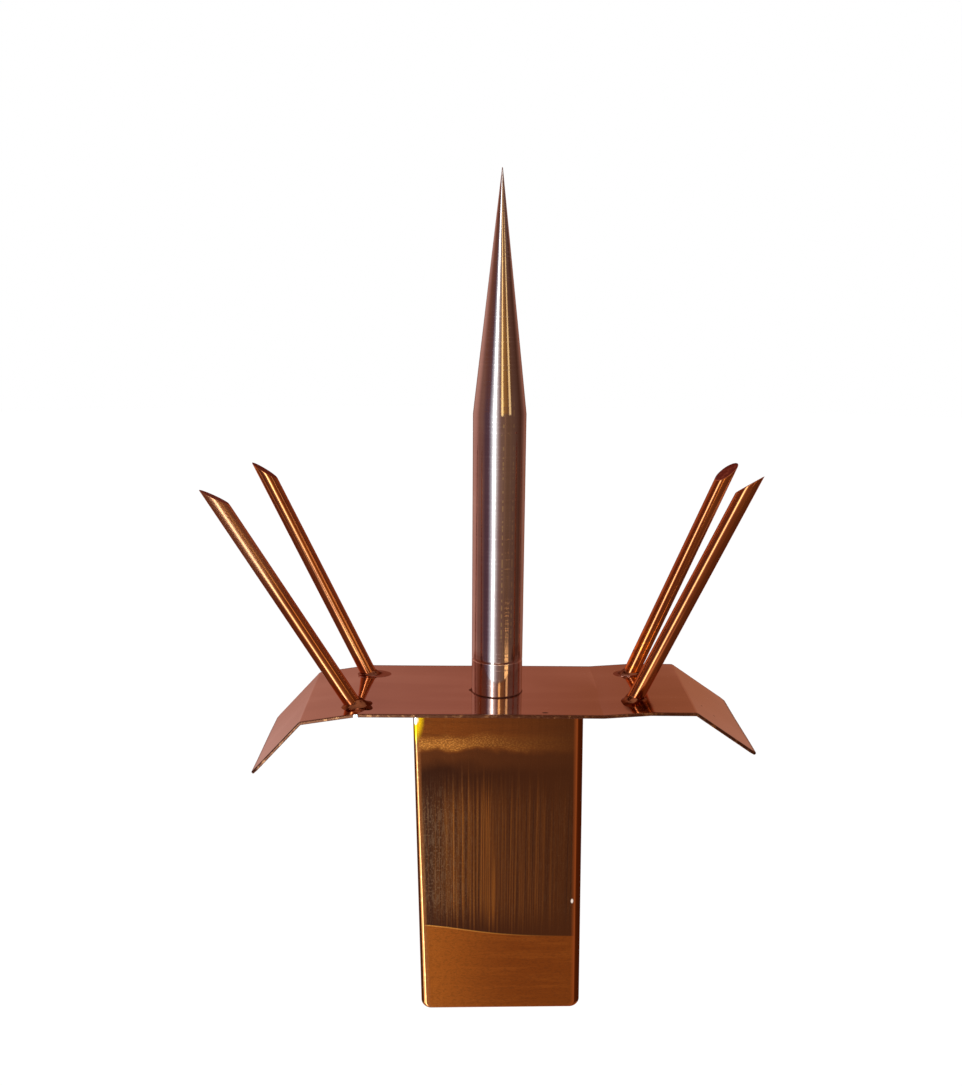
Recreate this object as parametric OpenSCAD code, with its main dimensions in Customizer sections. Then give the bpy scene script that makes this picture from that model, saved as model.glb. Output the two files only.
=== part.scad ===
// Five-point copper lightning rod: a turned spike on a folded canopy sheet, with four scarf-cut
// rods brazed round it and a thick mounting bar brazed below.
// Frame: +X to the right and +Z up, seen from the front. The origin lies on the back face of the
// mounting bar, straight below the spike and half way down the bar.

/* [Spike] */
// Diameter of the turned spike and of its collar
spike_d = 25; // [20:0.5:32]
// Length of the straight part of the spike, above the collar
spike_shank_len = 118.5; // [60:0.5:200]
// Length of the tapered point
spike_point_len = 106; // [60:0.5:160]
// Diameter left at the very tip
spike_tip_d = 0.4; // [0.2:0.1:2]
// Chamfer on both edges of the joint between spike and collar
joint_chamfer = 0.3; // [0.1:0.1:1]

/* [Collar] */
// Height of the collar that is brazed to the sheet
collar_h = 17; // [8:0.5:30]
// Nominal diameter of the collar's threaded spigot
spigot_d = 12; // [8:1:16]
// Length of the spigot
spigot_len = 18; // [10:0.5:30]
// Chamfer on the spigot's end
spigot_chamfer = 1; // [0.5:0.5:2]
// Radial room between the spigot and the spike's socket
spigot_clearance = 0.15; // [0.05:0.05:0.5]
// Room left above the spigot in the socket
socket_end_room = 2; // [0.5:0.5:6]

/* [Canopy sheet] */
// Thickness of the sheet
sheet_t = 1.5; // [1:0.1:3]
// Depth of the sheet, front to back
sheet_depth = 80; // [70:1:120]
// Distance of the sheet's front edge before the spike axis
sheet_front = 37.5; // [33:0.5:45]
// Flat stretch to the left of the spike axis
flat_left = 67; // [52:0.5:90]
// Length of the drooping left shoulder
droop_len = 27; // [15:0.5:40]
// Droop of the left shoulder below level
droop_angle = 9; // [2:0.5:15]
// Flat stretch to the right of the spike axis
flat_right = 50; // [49:0.5:60]
// Length of the slight rise in the right shoulder
rise_len = 22; // [15:0.5:30]
// Angle of that rise above level
rise_angle = 4; // [1:0.5:8]
// Length of the level right shoulder, from the rise to the fold
level_len = 22; // [10:0.5:40]
// Length of the left wing, from the fold to its edge
wing_left_len = 35; // [20:0.5:60]
// Slope of the left wing below level
wing_left_angle = 47; // [25:0.5:70]
// Length of the right wing, from the fold to its edge
wing_right_len = 35.5; // [20:0.5:60]
// Slope of the right wing below level
wing_right_angle = 34.5; // [20:0.5:70]
// Inside radius of the two sharp folds
fold_r = 1; // [0.5:0.1:4]
// Inside radius of the soft bends in the shoulders
soft_bend_r = 12; // [5:1:20]
// Leg of the snip across each of the wings' outer corners
wing_snip = 1; // [0.5:0.5:8]

/* [Rods] */
// Diameter of each rod
rod_d = 8; // [5:0.5:12]
// Angle between a rod's scarf cut and its axis
scarf_angle = 33; // [25:1:60]

/* [Front left rod] */
// Foot of the rod, to the left of the spike axis
front_left_x = 69; // [58:0.5:78]
// Foot of the rod, behind the spike axis
front_left_y = -23; // [-24:0.5:-14]
// Length from the sheet to the point
front_left_len = 123.5; // [80:0.5:160]
// Lean outwards from the spike
front_left_lean = 31; // [10:0.5:40]
// Lean towards the front
front_left_fore = 2; // [-15:0.5:15]
// Turn of the scarf cut towards the front
front_left_turn = -5; // [-45:1:45]
// Way that the braze has run from the foot: 0 to the spike, 90 to the front
front_left_run_way = 20; // [0:5:90]

/* [Rear left rod] */
// Foot of the rod, to the left of the spike axis
rear_left_x = 66; // [58:0.5:78]
// Foot of the rod, behind the spike axis
rear_left_y = 27; // [16:0.5:28]
// Length from the sheet to the point
rear_left_len = 122; // [80:0.5:160]
// Lean outwards from the spike
rear_left_lean = 26; // [10:0.5:40]
// Lean towards the front
rear_left_fore = -4.5; // [-15:0.5:15]
// Turn of the scarf cut towards the front
rear_left_turn = 7; // [-45:1:45]
// Way that the braze has run from the foot: 0 to the spike, 90 to the front
rear_left_run_way = 10; // [0:5:90]

/* [Front right rod] */
// Foot of the rod, to the right of the spike axis
front_right_x = 66.5; // [60:0.5:80]
// Foot of the rod, behind the spike axis
front_right_y = -17; // [-24:0.5:-14]
// Length from the sheet to the point
front_right_len = 123; // [80:0.5:160]
// Lean outwards from the spike
front_right_lean = 23; // [10:0.5:40]
// Lean towards the front
front_right_fore = 7; // [-15:0.5:15]
// Turn of the scarf cut towards the front
front_right_turn = -22; // [-45:1:45]
// Way that the braze has run from the foot: 0 to the spike, 90 to the front
front_right_run_way = 75; // [0:5:90]

/* [Rear right rod] */
// Foot of the rod, to the right of the spike axis
rear_right_x = 70; // [60:0.5:80]
// Foot of the rod, behind the spike axis
rear_right_y = 26; // [16:0.5:28]
// Length from the sheet to the point
rear_right_len = 119; // [80:0.5:160]
// Lean outwards from the spike
rear_right_lean = 23.5; // [10:0.5:40]
// Lean towards the front
rear_right_fore = -6; // [-15:0.5:15]
// Turn of the scarf cut towards the front
rear_right_turn = 32; // [-45:1:45]
// Way that the braze has run from the foot: 0 to the spike, 90 to the front
rear_right_run_way = 0; // [0:5:90]

/* [Mounting bar] */
// Width of the bar
bar_w = 85.5; // [60:0.5:86]
// Thickness of the bar
bar_t = 6; // [4:0.5:10]
// Length of the bar below the sheet
bar_len = 178.5; // [100:0.5:300]
// Radius of the bar's lower corners
bar_corner_r = 4; // [3.5:0.5:15]
// Lean of the bar from the spike axis, its lower end to the right
bar_lean = 1; // [-1.5:0.25:1.5]
// Offset of the bar's top to the right of the spike axis
bar_shift = 0.7; // [-1:0.1:1.2]

/* [Braze] */
// Radius of the braze mound round a rod's foot, on the sheet
mound_r = 7; // [6:0.5:10]
// Height of that mound
mound_h = 4; // [2:0.5:5]
// Radius of the thin run of braze beside each mound
run_r = 5.5; // [3:0.5:8]
// Height of that run
run_h = 1; // [0.5:0.1:2]
// Distance of the run's middle from the rod's foot
run_reach = 7; // [3:0.5:9]
// Leg of the braze fillet at the collar's foot
collar_fillet = 0.8; // [0.3:0.1:3]
// Leg of the braze fillet along the top of the bar
bar_fillet = 4; // [2:0.5:5]

/* [Hidden] */
$fn = 96;
// Largest turn from one short stretch to the next in a bend of the sheet
bend_step_angle = 5;
// Length by which a cutting tool passes the face that it cuts
overcut = 1;

copper_turned = "#8a6a62";
copper_sheet = "#9a5c4a";
copper_drawn = "#7a3a22";
copper_bar = "#7d471f";
braze_metal = "#4d2c1e";

spike_r = spike_d / 2;
rod_r = rod_d / 2;
axis_y = -bar_t / 2;
sheet_top = bar_len / 2 + sheet_t;
sheet_back = sheet_depth - sheet_front;
// Length by which a rod is drawn past the sheet's face before it is trimmed to it
rod_stub = 2 * rod_d;
// A length that clears every piece, for trimming blocks
clear = 2 * (bar_len + spike_shank_len + spike_point_len);

// The sheet's run to each side of the spike axis. Each step holds its length between bend corners,
// the bend at its far end (up is positive) and the inside radius of that bend.
left_run = [
    [flat_left, -droop_angle, soft_bend_r],
    [droop_len, droop_angle - wing_left_angle, fold_r],
    [wing_left_len, 0, 0]
];
right_run = [
    [flat_right, rise_angle, soft_bend_r],
    [rise_len, -rise_angle, soft_bend_r],
    [level_len, -wing_right_angle, fold_r],
    [wing_right_len, 0, 0]
];

// Places of the values in a rod's list: its side (-1 left, 1 right), its foot out from and behind the
// spike axis, its length, its two leans, the turn of its cut and the way of its braze run
SIDE = 0;
OUT = 1;
BACK = 2;
LENGTH = 3;
LEAN = 4;
FORE = 5;
TURN = 6;
RUN_WAY = 7;
front_left = [
    -1, front_left_x, front_left_y, front_left_len,
    front_left_lean, front_left_fore, front_left_turn, front_left_run_way
];
rear_left = [
    -1, rear_left_x, rear_left_y, rear_left_len,
    rear_left_lean, rear_left_fore, rear_left_turn, rear_left_run_way
];
front_right = [
    1, front_right_x, front_right_y, front_right_len,
    front_right_lean, front_right_fore, front_right_turn, front_right_run_way
];
rear_right = [
    1, rear_right_x, rear_right_y, rear_right_len,
    rear_right_lean, rear_right_fore, rear_right_turn, rear_right_run_way
];

// Heading of step i of a run, and the corner that it starts from
function heading(run, i) = i == 0 ? 0 : heading(run, i - 1) + run[i - 1][1];
function along(angle) = [cos(angle), sin(angle)];
function above(angle) = [-sin(angle), cos(angle)];
function corner(run, i) =
    i == 0 ? [0, 0] : corner(run, i - 1) + run[i - 1][0] * along(heading(run, i - 1));
function step_at(run, x, i = 0) =
    i == len(run) - 1 || x < corner(run, i + 1)[0] ? i : step_at(run, x, i + 1);
// Height of the sheet's top face at a distance from the spike axis
function top_at(run, x) =
    let (i = step_at(run, x), c = corner(run, i)) c[1] + (x - c[0]) * tan(heading(run, i));

// Points of the bend at the end of step i, at a depth below the sheet's top face
function bend_points(run, i, depth) =
    let (
        turn = run[i][1],
        way = sign(turn),
        steps = ceil(abs(turn) / bend_step_angle),
        top_r = turn < 0 ? run[i][2] + sheet_t : run[i][2],
        setback = top_r * tan(abs(turn) / 2),
        start = corner(run, i + 1) - setback * along(heading(run, i)),
        centre = start + way * top_r * above(heading(run, i))
    )
    [
        for (k = [0 : steps])
            centre - (way * top_r + depth) * above(heading(run, i) + turn * k / steps)
    ];

// One face of the sheet's section, from the spike axis out to the wing's edge
function face_line(run, depth) = [
    for (i = [0 : len(run) - 2]) each bend_points(run, i, depth),
    corner(run, len(run)) - depth * above(heading(run, len(run) - 1))
];
function to_left(points) = [for (i = [len(points) - 1 : -1 : 0]) [-points[i][0], points[i][1]]];
function reversed(points) = [for (i = [len(points) - 1 : -1 : 0]) points[i]];
function section_face(depth) = concat(to_left(face_line(left_run, depth)), face_line(right_run, depth));

function rod_run(rod) = rod[SIDE] < 0 ? left_run : right_run;
function foot_height(rod) = top_at(rod_run(rod), rod[OUT]);
function foot_slope(rod) = heading(rod_run(rod), step_at(rod_run(rod), rod[OUT]));

// Puts a piece that is modelled from the spike axis and the sheet's top face into the part's frame
module on_sheet() {
    translate([0, axis_y, sheet_top]) children();
}

// Mirrors what follows to the left side for a side of -1
module to_side(side) {
    mirror([side < 0 ? 1 : 0, 0, 0]) children();
}

// Turned spike: straight shank, long point and a socket for the collar's spigot
module spike_solid() {
    difference() {
        rotate_extrude() polygon([
            [0, collar_h],
            [spike_r - joint_chamfer, collar_h],
            [spike_r, collar_h + joint_chamfer],
            [spike_r, collar_h + spike_shank_len],
            [spike_tip_d / 2, collar_h + spike_shank_len + spike_point_len],
            [0, collar_h + spike_shank_len + spike_point_len]
        ]);
        translate([0, 0, collar_h - overcut])
            cylinder(d = spigot_d + 2 * spigot_clearance, h = spigot_len + socket_end_room + overcut);
    }
}

module spike() {
    color(copper_turned) on_sheet() spike_solid();
}

// Turned collar with its spigot in one piece
module base_collar() {
    color(copper_turned) on_sheet() rotate_extrude() polygon([
        [0, 0],
        [spike_r, 0],
        [spike_r, collar_h - joint_chamfer],
        [spike_r - joint_chamfer, collar_h],
        [spigot_d / 2, collar_h],
        [spigot_d / 2, collar_h + spigot_len - spigot_chamfer],
        [spigot_d / 2 - spigot_chamfer, collar_h + spigot_len],
        [0, collar_h + spigot_len]
    ]);
}

// Carries a section drawn in width and height along the depth of the sheet
module along_depth(extra = 0) {
    translate([0, sheet_back + extra, 0]) rotate([90, 0, 0])
        linear_extrude(sheet_depth + 2 * extra) children();
}

// What is cut away to snip the two outer corners of a wing
module wing_snips(run) {
    end = corner(run, len(run));
    translate([end[0], 0, end[1]]) rotate([0, -heading(run, len(run) - 1), 0])
        for (side = [-1, 1])
            translate([0, side < 0 ? -sheet_front : sheet_back, -sheet_t - overcut])
                rotate([0, 0, 45 * side]) translate([-wing_snip / sqrt(2), -wing_snip, 0])
                    cube([2 * wing_snip, 2 * wing_snip, sheet_t + 2 * overcut]);
}

// Folded sheet: one section with its bends, carried from front to back
module sheet_solid() {
    difference() {
        along_depth() polygon(concat(section_face(0), reversed(section_face(sheet_t))));
        wing_snips(right_run);
        mirror([1, 0, 0]) wing_snips(left_run);
    }
}

module canopy_sheet() {
    color(copper_sheet) on_sheet() sheet_solid();
}

// Puts a piece on a rod's axis, with its foot on the sheet
module on_rod(rod) {
    to_side(rod[SIDE])
        translate([rod[OUT], rod[BACK], foot_height(rod)])
            rotate([rod[FORE], 0, 0]) rotate([0, rod[LEAN], 0]) children();
}

// Trims what stands on the sheet to the sheet's own top face
module seat_on_sheet() {
    top = section_face(0);
    difference() {
        children();
        along_depth(sheet_depth)
            polygon(concat(top, [[top[len(top) - 1][0], -clear], [top[0][0], -clear]]));
    }
}

module rod_bar(rod) {
    on_rod(rod) translate([0, 0, -rod_stub]) cylinder(d = rod_d, h = rod[LENGTH] + rod_stub);
}

// Round rod, cut to a point by one slanting cut whose face looks towards the spike
module rod_solid(rod) {
    seat_on_sheet() difference() {
        rod_bar(rod);
        on_rod(rod) rotate([0, 0, rod[TURN]])
            translate([rod_r, 0, rod[LENGTH]]) rotate([0, scarf_angle - 90, 0])
                translate([-clear / 2, -clear / 2, 0]) cube(clear);
    }
}

module rod_piece(rod) {
    color(copper_drawn) on_sheet() rod_solid(rod);
}

module rod_front_left() { rod_piece(front_left); }
module rod_rear_left() { rod_piece(rear_left); }
module rod_front_right() { rod_piece(front_right); }
module rod_rear_right() { rod_piece(rear_right); }

// Cap of a ball that rises to a height over a base circle
module cap(base_r, height) {
    ball_r = (base_r * base_r + height * height) / (2 * height);
    translate([0, 0, height - ball_r]) sphere(r = ball_r);
}

// Mound of braze round a rod's foot, with a thin run beside it
module braze_solid(rod) {
    seat_on_sheet() difference() {
        to_side(rod[SIDE])
            translate([rod[OUT], rod[BACK], foot_height(rod)]) rotate([0, -foot_slope(rod), 0]) {
                cap(mound_r, mound_h);
                translate(-run_reach * [cos(rod[RUN_WAY]), sin(rod[RUN_WAY]), 0]) cap(run_r, run_h);
            }
        rod_bar(rod);
    }
}

module braze_piece(rod) {
    color(braze_metal) on_sheet() braze_solid(rod);
}

module braze_front_left() { braze_piece(front_left); }
module braze_rear_left() { braze_piece(rear_left); }
module braze_front_right() { braze_piece(front_right); }
module braze_rear_right() { braze_piece(rear_right); }

module braze_collar() {
    color(braze_metal) on_sheet() rotate_extrude() polygon([
        [spike_r, 0],
        [spike_r + collar_fillet, 0],
        [spike_r, collar_fillet]
    ]);
}

// Puts a piece on the bar's own middle line, with the sheet's lower face at zero
module on_bar() {
    translate([bar_shift, 0, -sheet_t]) children();
}

// Section of the bar: flat faces with full round edges
module bar_section() {
    square([bar_w - bar_t, bar_t], center = true);
    for (side = [-1, 1])
        translate([side * (bar_w - bar_t) / 2, 0]) circle(d = bar_t);
}

// Front outline of the bar, with rounded lower corners
module bar_outline() {
    translate([-bar_w / 2, bar_corner_r - bar_len]) square([bar_w, bar_len]);
    translate([bar_corner_r - bar_w / 2, -bar_len]) square([bar_w - 2 * bar_corner_r, bar_len]);
    for (side = [-1, 1])
        translate([side * (bar_w / 2 - bar_corner_r), bar_corner_r - bar_len]) circle(r = bar_corner_r);
}

// Flat bar with round edges, leaning a little, its top cut to the sheet's lower face
module bar_solid() {
    difference() {
        on_bar() rotate([0, -bar_lean, 0]) intersection() {
            translate([0, 0, -bar_len]) linear_extrude(bar_len + bar_t) bar_section();
            rotate([90, 0, 0]) linear_extrude(2 * bar_t, center = true) bar_outline();
        }
        translate([-clear / 2, -clear / 2, -sheet_t]) cube(clear);
    }
}

module mounting_bar() {
    color(copper_bar) on_sheet() bar_solid();
}

// Braze fillet along the front of the bar's top and round its ends, up to the plane of its back face
module braze_bar() {
    inset = bar_t / 4;
    fillet = [[-inset, 0], [bar_fillet, 0], [-inset, -bar_fillet - inset]];
    straight = bar_w - bar_t;
    end_turn = 90 + asin(bar_t / (bar_t + 2 * bar_fillet));
    color(braze_metal) on_sheet() difference() {
        on_bar() {
            translate([straight / 2, -bar_t / 2, 0]) rotate([90, 0, -90])
                linear_extrude(straight) polygon(fillet);
            for (side = [-1, 1])
                to_side(side) translate([straight / 2, 0, 0]) rotate([0, 0, -90])
                    rotate_extrude(angle = end_turn) translate([bar_t / 2, 0]) polygon(fillet);
        }
        bar_solid();
    }
}

spike();
base_collar();
canopy_sheet();
mounting_bar();
rod_front_left();
rod_rear_left();
rod_front_right();
rod_rear_right();
braze_front_left();
braze_rear_left();
braze_front_right();
braze_rear_right();
braze_collar();
braze_bar();
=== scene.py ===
"""Looks of a copper lightning rod: turned spike, folded canopy sheet, drawn rods, braze and mounting bar."""

import logging
import math
from abc import ABC, abstractmethod
from dataclasses import dataclass, field
from enum import Enum

import bmesh
import bpy
import numpy as np
from mathutils import Matrix, Vector


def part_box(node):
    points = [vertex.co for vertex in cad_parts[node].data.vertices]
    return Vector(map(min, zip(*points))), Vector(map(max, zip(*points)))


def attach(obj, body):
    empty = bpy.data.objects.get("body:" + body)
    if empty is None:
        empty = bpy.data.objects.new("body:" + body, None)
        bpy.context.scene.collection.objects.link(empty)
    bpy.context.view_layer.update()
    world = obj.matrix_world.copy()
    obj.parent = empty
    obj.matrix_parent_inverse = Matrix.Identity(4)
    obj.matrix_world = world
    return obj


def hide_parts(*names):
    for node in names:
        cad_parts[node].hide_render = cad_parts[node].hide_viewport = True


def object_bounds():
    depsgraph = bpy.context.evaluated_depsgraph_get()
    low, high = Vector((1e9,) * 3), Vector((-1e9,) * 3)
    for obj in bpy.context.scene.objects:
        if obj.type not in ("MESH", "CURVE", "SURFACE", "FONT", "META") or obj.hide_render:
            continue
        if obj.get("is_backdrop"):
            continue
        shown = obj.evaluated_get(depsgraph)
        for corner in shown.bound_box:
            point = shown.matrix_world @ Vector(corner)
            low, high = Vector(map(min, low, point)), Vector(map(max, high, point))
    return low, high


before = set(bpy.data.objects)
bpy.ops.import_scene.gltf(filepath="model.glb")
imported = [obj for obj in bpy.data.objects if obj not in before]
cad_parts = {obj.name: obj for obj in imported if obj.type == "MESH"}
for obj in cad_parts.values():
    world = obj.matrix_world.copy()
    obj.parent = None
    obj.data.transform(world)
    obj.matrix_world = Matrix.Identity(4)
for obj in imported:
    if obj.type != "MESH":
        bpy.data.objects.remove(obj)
log = logging.getLogger("lightning_rod")

MM = 0.001
QUARTER = math.pi / 2
BODY = "root"
PHOTO_HEIGHT = 1086
MERGE_GAP = 0.0005 * MM
WHITE = (1.0, 1.0, 1.0, 1.0)

Pair = tuple[float, float]
Triple = tuple[float, float, float]
Colour = tuple[float, float, float, float]
Spot = tuple[Triple, Triple]
Socket = bpy.types.NodeSocket


class Slot(Enum):
    """Material slots of the record."""

    TURNED = "copper_turned"
    SHEET = "copper_sheet"
    DRAWN = "copper_drawn"
    BAR = "copper_bar"
    BRAZE = "braze_metal"


class Side(Enum):
    """Side of the spike on which a rod stands, as the sign of X."""

    LEFT = -1
    RIGHT = 1


def linear(red: float, green: float, blue: float) -> Colour:
    """Linear colour of an sRGB colour: ((c + 0.055) / 1.055) ** 2.4, or c / 12.92 where it is dark.

    Args:
        red, green, blue: channels from 0 to 255.

    Returns:
        Linear red, green and blue, with full alpha.
    """
    c = np.array([red, green, blue]) / 255
    value = np.where(c > 0.04045, ((c + 0.055) / 1.055) ** 2.4, c / 12.92)
    return (*map(float, value), 1.0)


def metres(lengths: Triple) -> Triple:
    """Lengths given in millimetres."""
    return tuple(length * MM for length in lengths)


def turn_about(axis: str, degrees: float) -> np.ndarray:
    """Matrix, for column vectors, of a right-handed turn about the axis X, Y or Z."""
    return np.array(Matrix.Rotation(math.radians(degrees), 3, axis))


def around(columns: int) -> np.ndarray:
    """Evenly spaced angles of a full turn, in radians."""
    return np.linspace(0, 2 * math.pi, columns, endpoint=False)


def wobble(angle: np.ndarray, seed: int, orders: range) -> np.ndarray:
    """Smooth closed noise of an angle: the sum of cos(k * angle + phase) / k, scaled to about 1.

    Args:
        angle: angles in radians.
        seed: seed of the random phases.
        orders: the waves k that are summed.

    Returns:
        Values from about -1 to 1, shaped as the angles.
    """
    phases = np.random.default_rng(seed).uniform(0, 2 * math.pi, len(orders))
    k = np.array(orders)
    waves = np.cos(angle[..., None] * k + phases) / k
    return waves.sum(-1) / np.sqrt((0.5 / k**2).sum()) / 2


def bent(start: np.ndarray, control: np.ndarray, end: np.ndarray, steps: int) -> np.ndarray:
    """Quadratic curve (1-t)^2 start + 2t(1-t) control + t^2 end, which rounds off a sharp corner.

    Args:
        start, control, end: points on the one side, at the sharp corner and on the other side.
        steps: number of rows, both ends included.

    Returns:
        The rows of the rounded corner, on a new first axis.
    """
    t = np.linspace(0, 1, steps).reshape(-1, *([1] * start.ndim))
    return (1 - t) ** 2 * start + 2 * t * (1 - t) * control + t**2 * end


def turned(profile: np.ndarray, axis: Pair, columns: int = 160) -> np.ndarray:
    """Surface of revolution: (r cos a + x0, r sin a + y0, z) over the angle a.

    Args:
        profile: rows of radius and height, from the lower end to the upper.
        axis: X and Y of the axis.
        columns: points round the axis.

    Returns:
        Points in rows and columns.
    """
    angle = around(columns)
    r, z = profile[:, :1], profile[:, 1:]
    return np.stack([r * np.cos(angle) + axis[0], r * np.sin(angle) + axis[1], z + 0 * angle], axis=-1)


def polyline(corners: list[Pair], pitch: float) -> np.ndarray:
    """Points along straight stretches, no further apart than a pitch.

    Args:
        corners: ends of the stretches.
        pitch: largest distance between points.

    Returns:
        The corners and the points between them.
    """
    ends = np.array(corners)
    counts = [max(2, math.ceil(np.linalg.norm(b - a) / pitch) + 1) for a, b in zip(ends, ends[1:])]
    spans = [np.linspace(a, b, count)[:-1] for a, b, count in zip(ends, ends[1:], counts)]
    return np.concatenate([*spans, ends[-1:]])


def held(values: np.ndarray, core: np.ndarray, count: int) -> np.ndarray:
    """Values of the core rows, with the first and the last value held for a count of rows beyond them."""
    return np.concatenate([values[:1].repeat(count, 0), values[core], values[-1:].repeat(count, 0)])


@dataclass
class Grid:
    """A surface as rows and columns of points, in metres, with values that its finish reads.

    Attributes:
        points: rows, columns and three coordinates.
        marks: named values for each point, such as 1 on a cut edge, or vectors such as a place along a rod.
        closed: whether the columns run round and close on themselves.
    """

    points: np.ndarray
    marks: dict[str, np.ndarray] = field(default_factory=dict)
    closed: bool = True

    def faces(self) -> np.ndarray:
        """Quads between neighbouring rows; in a closed grid the last column meets the first."""
        rows, cols = self.points.shape[:2]
        i, j = np.meshgrid(np.arange(rows - 1), np.arange(cols - (not self.closed)), indexing="ij")
        k = (j + 1) % cols
        quads = np.stack([i * cols + j, i * cols + k, (i + 1) * cols + k, (i + 1) * cols + j], axis=-1)
        return quads.reshape(-1, 4)

    def plain(self, name: str) -> bpy.types.Mesh:
        """Mesh of the points as they are, with their marks."""
        mesh = bpy.data.meshes.new(name)
        mesh.from_pydata(self.points.reshape(-1, 3).tolist(), [], self.faces().tolist())
        for mark, values in self.marks.items():
            kind, key = ("FLOAT_VECTOR", "vector") if values.ndim == 3 else ("FLOAT", "value")
            layer = mesh.attributes.new(mark, kind, "POINT")
            layer.data.foreach_set(key, values.astype(np.float32).ravel())
        return mesh

    def mesh(self, name: str) -> bpy.types.Mesh:
        """Makes the mesh, merges its poles and points its faces outwards.

        Args:
            name: name of the mesh.

        Returns:
            A closed, smooth mesh.
        """
        mesh = self.plain(name)
        work = bmesh.new()
        work.from_mesh(mesh)
        bmesh.ops.remove_doubles(work, verts=work.verts, dist=MERGE_GAP)
        bmesh.ops.dissolve_degenerate(work, edges=work.edges, dist=MERGE_GAP)
        bmesh.ops.recalc_face_normals(work, faces=work.faces)
        work.to_mesh(mesh)
        work.free()
        mesh.polygons.foreach_set("use_smooth", np.ones(len(mesh.polygons), bool))
        return mesh


def add_object(name: str, data: bpy.types.ID) -> bpy.types.Object:
    """Adds an object to the scene."""
    made = bpy.data.objects.new(name, data)
    bpy.context.scene.collection.objects.link(made)
    return made


def cleared(holder: bpy.types.ID) -> bpy.types.NodeTree:
    """Node tree of a material or a world, emptied."""
    holder.use_nodes = True
    holder.node_tree.nodes.clear()
    return holder.node_tree


class Bench:
    """Adds and links the nodes of one shader tree."""

    def __init__(self, tree: bpy.types.NodeTree) -> None:
        """Keeps the tree that is worked on."""
        self.tree = tree

    def feed(self, socket: Socket, value: object) -> None:
        """Links an output to an input, or sets the input's own value."""
        if isinstance(value, Socket):
            self.tree.links.new(value, socket)
        else:
            socket.default_value = value

    def add(self, kind: str, inputs: dict | None = None, **settings: object) -> bpy.types.Node:
        """Adds one node.

        Args:
            kind: Blender's name of the node.
            inputs: input names or places, with values or outputs to link.
            settings: the node's own settings.

        Returns:
            The node.
        """
        node = self.tree.nodes.new(kind)
        for name, value in settings.items():
            setattr(node, name, value)
        for name, value in (inputs or {}).items():
            self.feed(node.inputs[name], value)
        return node

    def group(self, tree: bpy.types.NodeTree, **inputs: object) -> bpy.types.Node:
        """Places a shader group, with its inputs named in small letters."""
        named = {name.capitalize(): value for name, value in inputs.items()}
        return self.add("ShaderNodeGroup", named, node_tree=tree)

    def math(self, operation: str, *values: object) -> Socket:
        """Output of a Math node on the given values."""
        return self.add("ShaderNodeMath", dict(enumerate(values)), operation=operation).outputs[0]

    def times(self, first: object, *others: object) -> Socket:
        """Product of several values."""
        for other in others:
            first = self.math("MULTIPLY", first, other)
        return first

    def vector(self, operation: str, *values: object) -> bpy.types.Node:
        """A Vector Math node on the given values."""
        return self.add("ShaderNodeVectorMath", dict(enumerate(values)), operation=operation)

    def mix(self, amount: object, first: object, second: object, blend: str = "MIX") -> Socket:
        """Output of a colour Mix node, whose colours are its inputs 6 and 7."""
        inputs = {0: amount, 6: first, 7: second}
        return self.add("ShaderNodeMix", inputs, data_type="RGBA", blend_type=blend).outputs[2]

    def step(self, value: object, low: float, high: float, to: Pair = (0, 1)) -> Socket:
        """Smooth step of a value from low to high."""
        limits = {"Value": value, "From Min": low, "From Max": high, "To Min": to[0], "To Max": to[1]}
        return self.add("ShaderNodeMapRange", limits, interpolation_type="SMOOTHSTEP").outputs[0]

    def spread(self, value: object, low: float, high: float) -> Socket:
        """Noise, which lies mostly between 0.2 and 0.8, brought to the span from low to high."""
        limits = {"Value": value, "From Min": 0.2, "From Max": 0.8, "To Min": low, "To Max": high}
        return self.add("ShaderNodeMapRange", limits).outputs[0]

    def noise(self, vector: object, scale: object, detail: float = 2.0) -> Socket:
        """Output of a Noise Texture."""
        return self.add("ShaderNodeTexNoise", {"Vector": vector, "Scale": scale, "Detail": detail}).outputs[0]

    def ramp(self, value: object, stops: list[tuple[float, Colour]]) -> Socket:
        """Colour of a value between stops.

        Args:
            value: a value from 0 to 1.
            stops: a place from 0 to 1 and a colour each, in rising order.

        Returns:
            The colour.
        """
        node = self.add("ShaderNodeValToRGB", {"Fac": value})
        line = node.color_ramp.elements
        line.remove(line[1])
        line[0].position = 0.0
        line[0].color = stops[0][1]
        for place, colour in stops:
            line.new(place).color = colour
        return node.outputs[0]

    def bump(self, height: object, strength: float, distance: float, normal: Socket | None = None) -> Socket:
        """Normal of a Bump node, laid over another one where given."""
        under = {} if normal is None else {"Normal": normal}
        inputs = {"Height": height, "Strength": strength, "Distance": distance, **under}
        return self.add("ShaderNodeBump", inputs).outputs[0]


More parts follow.
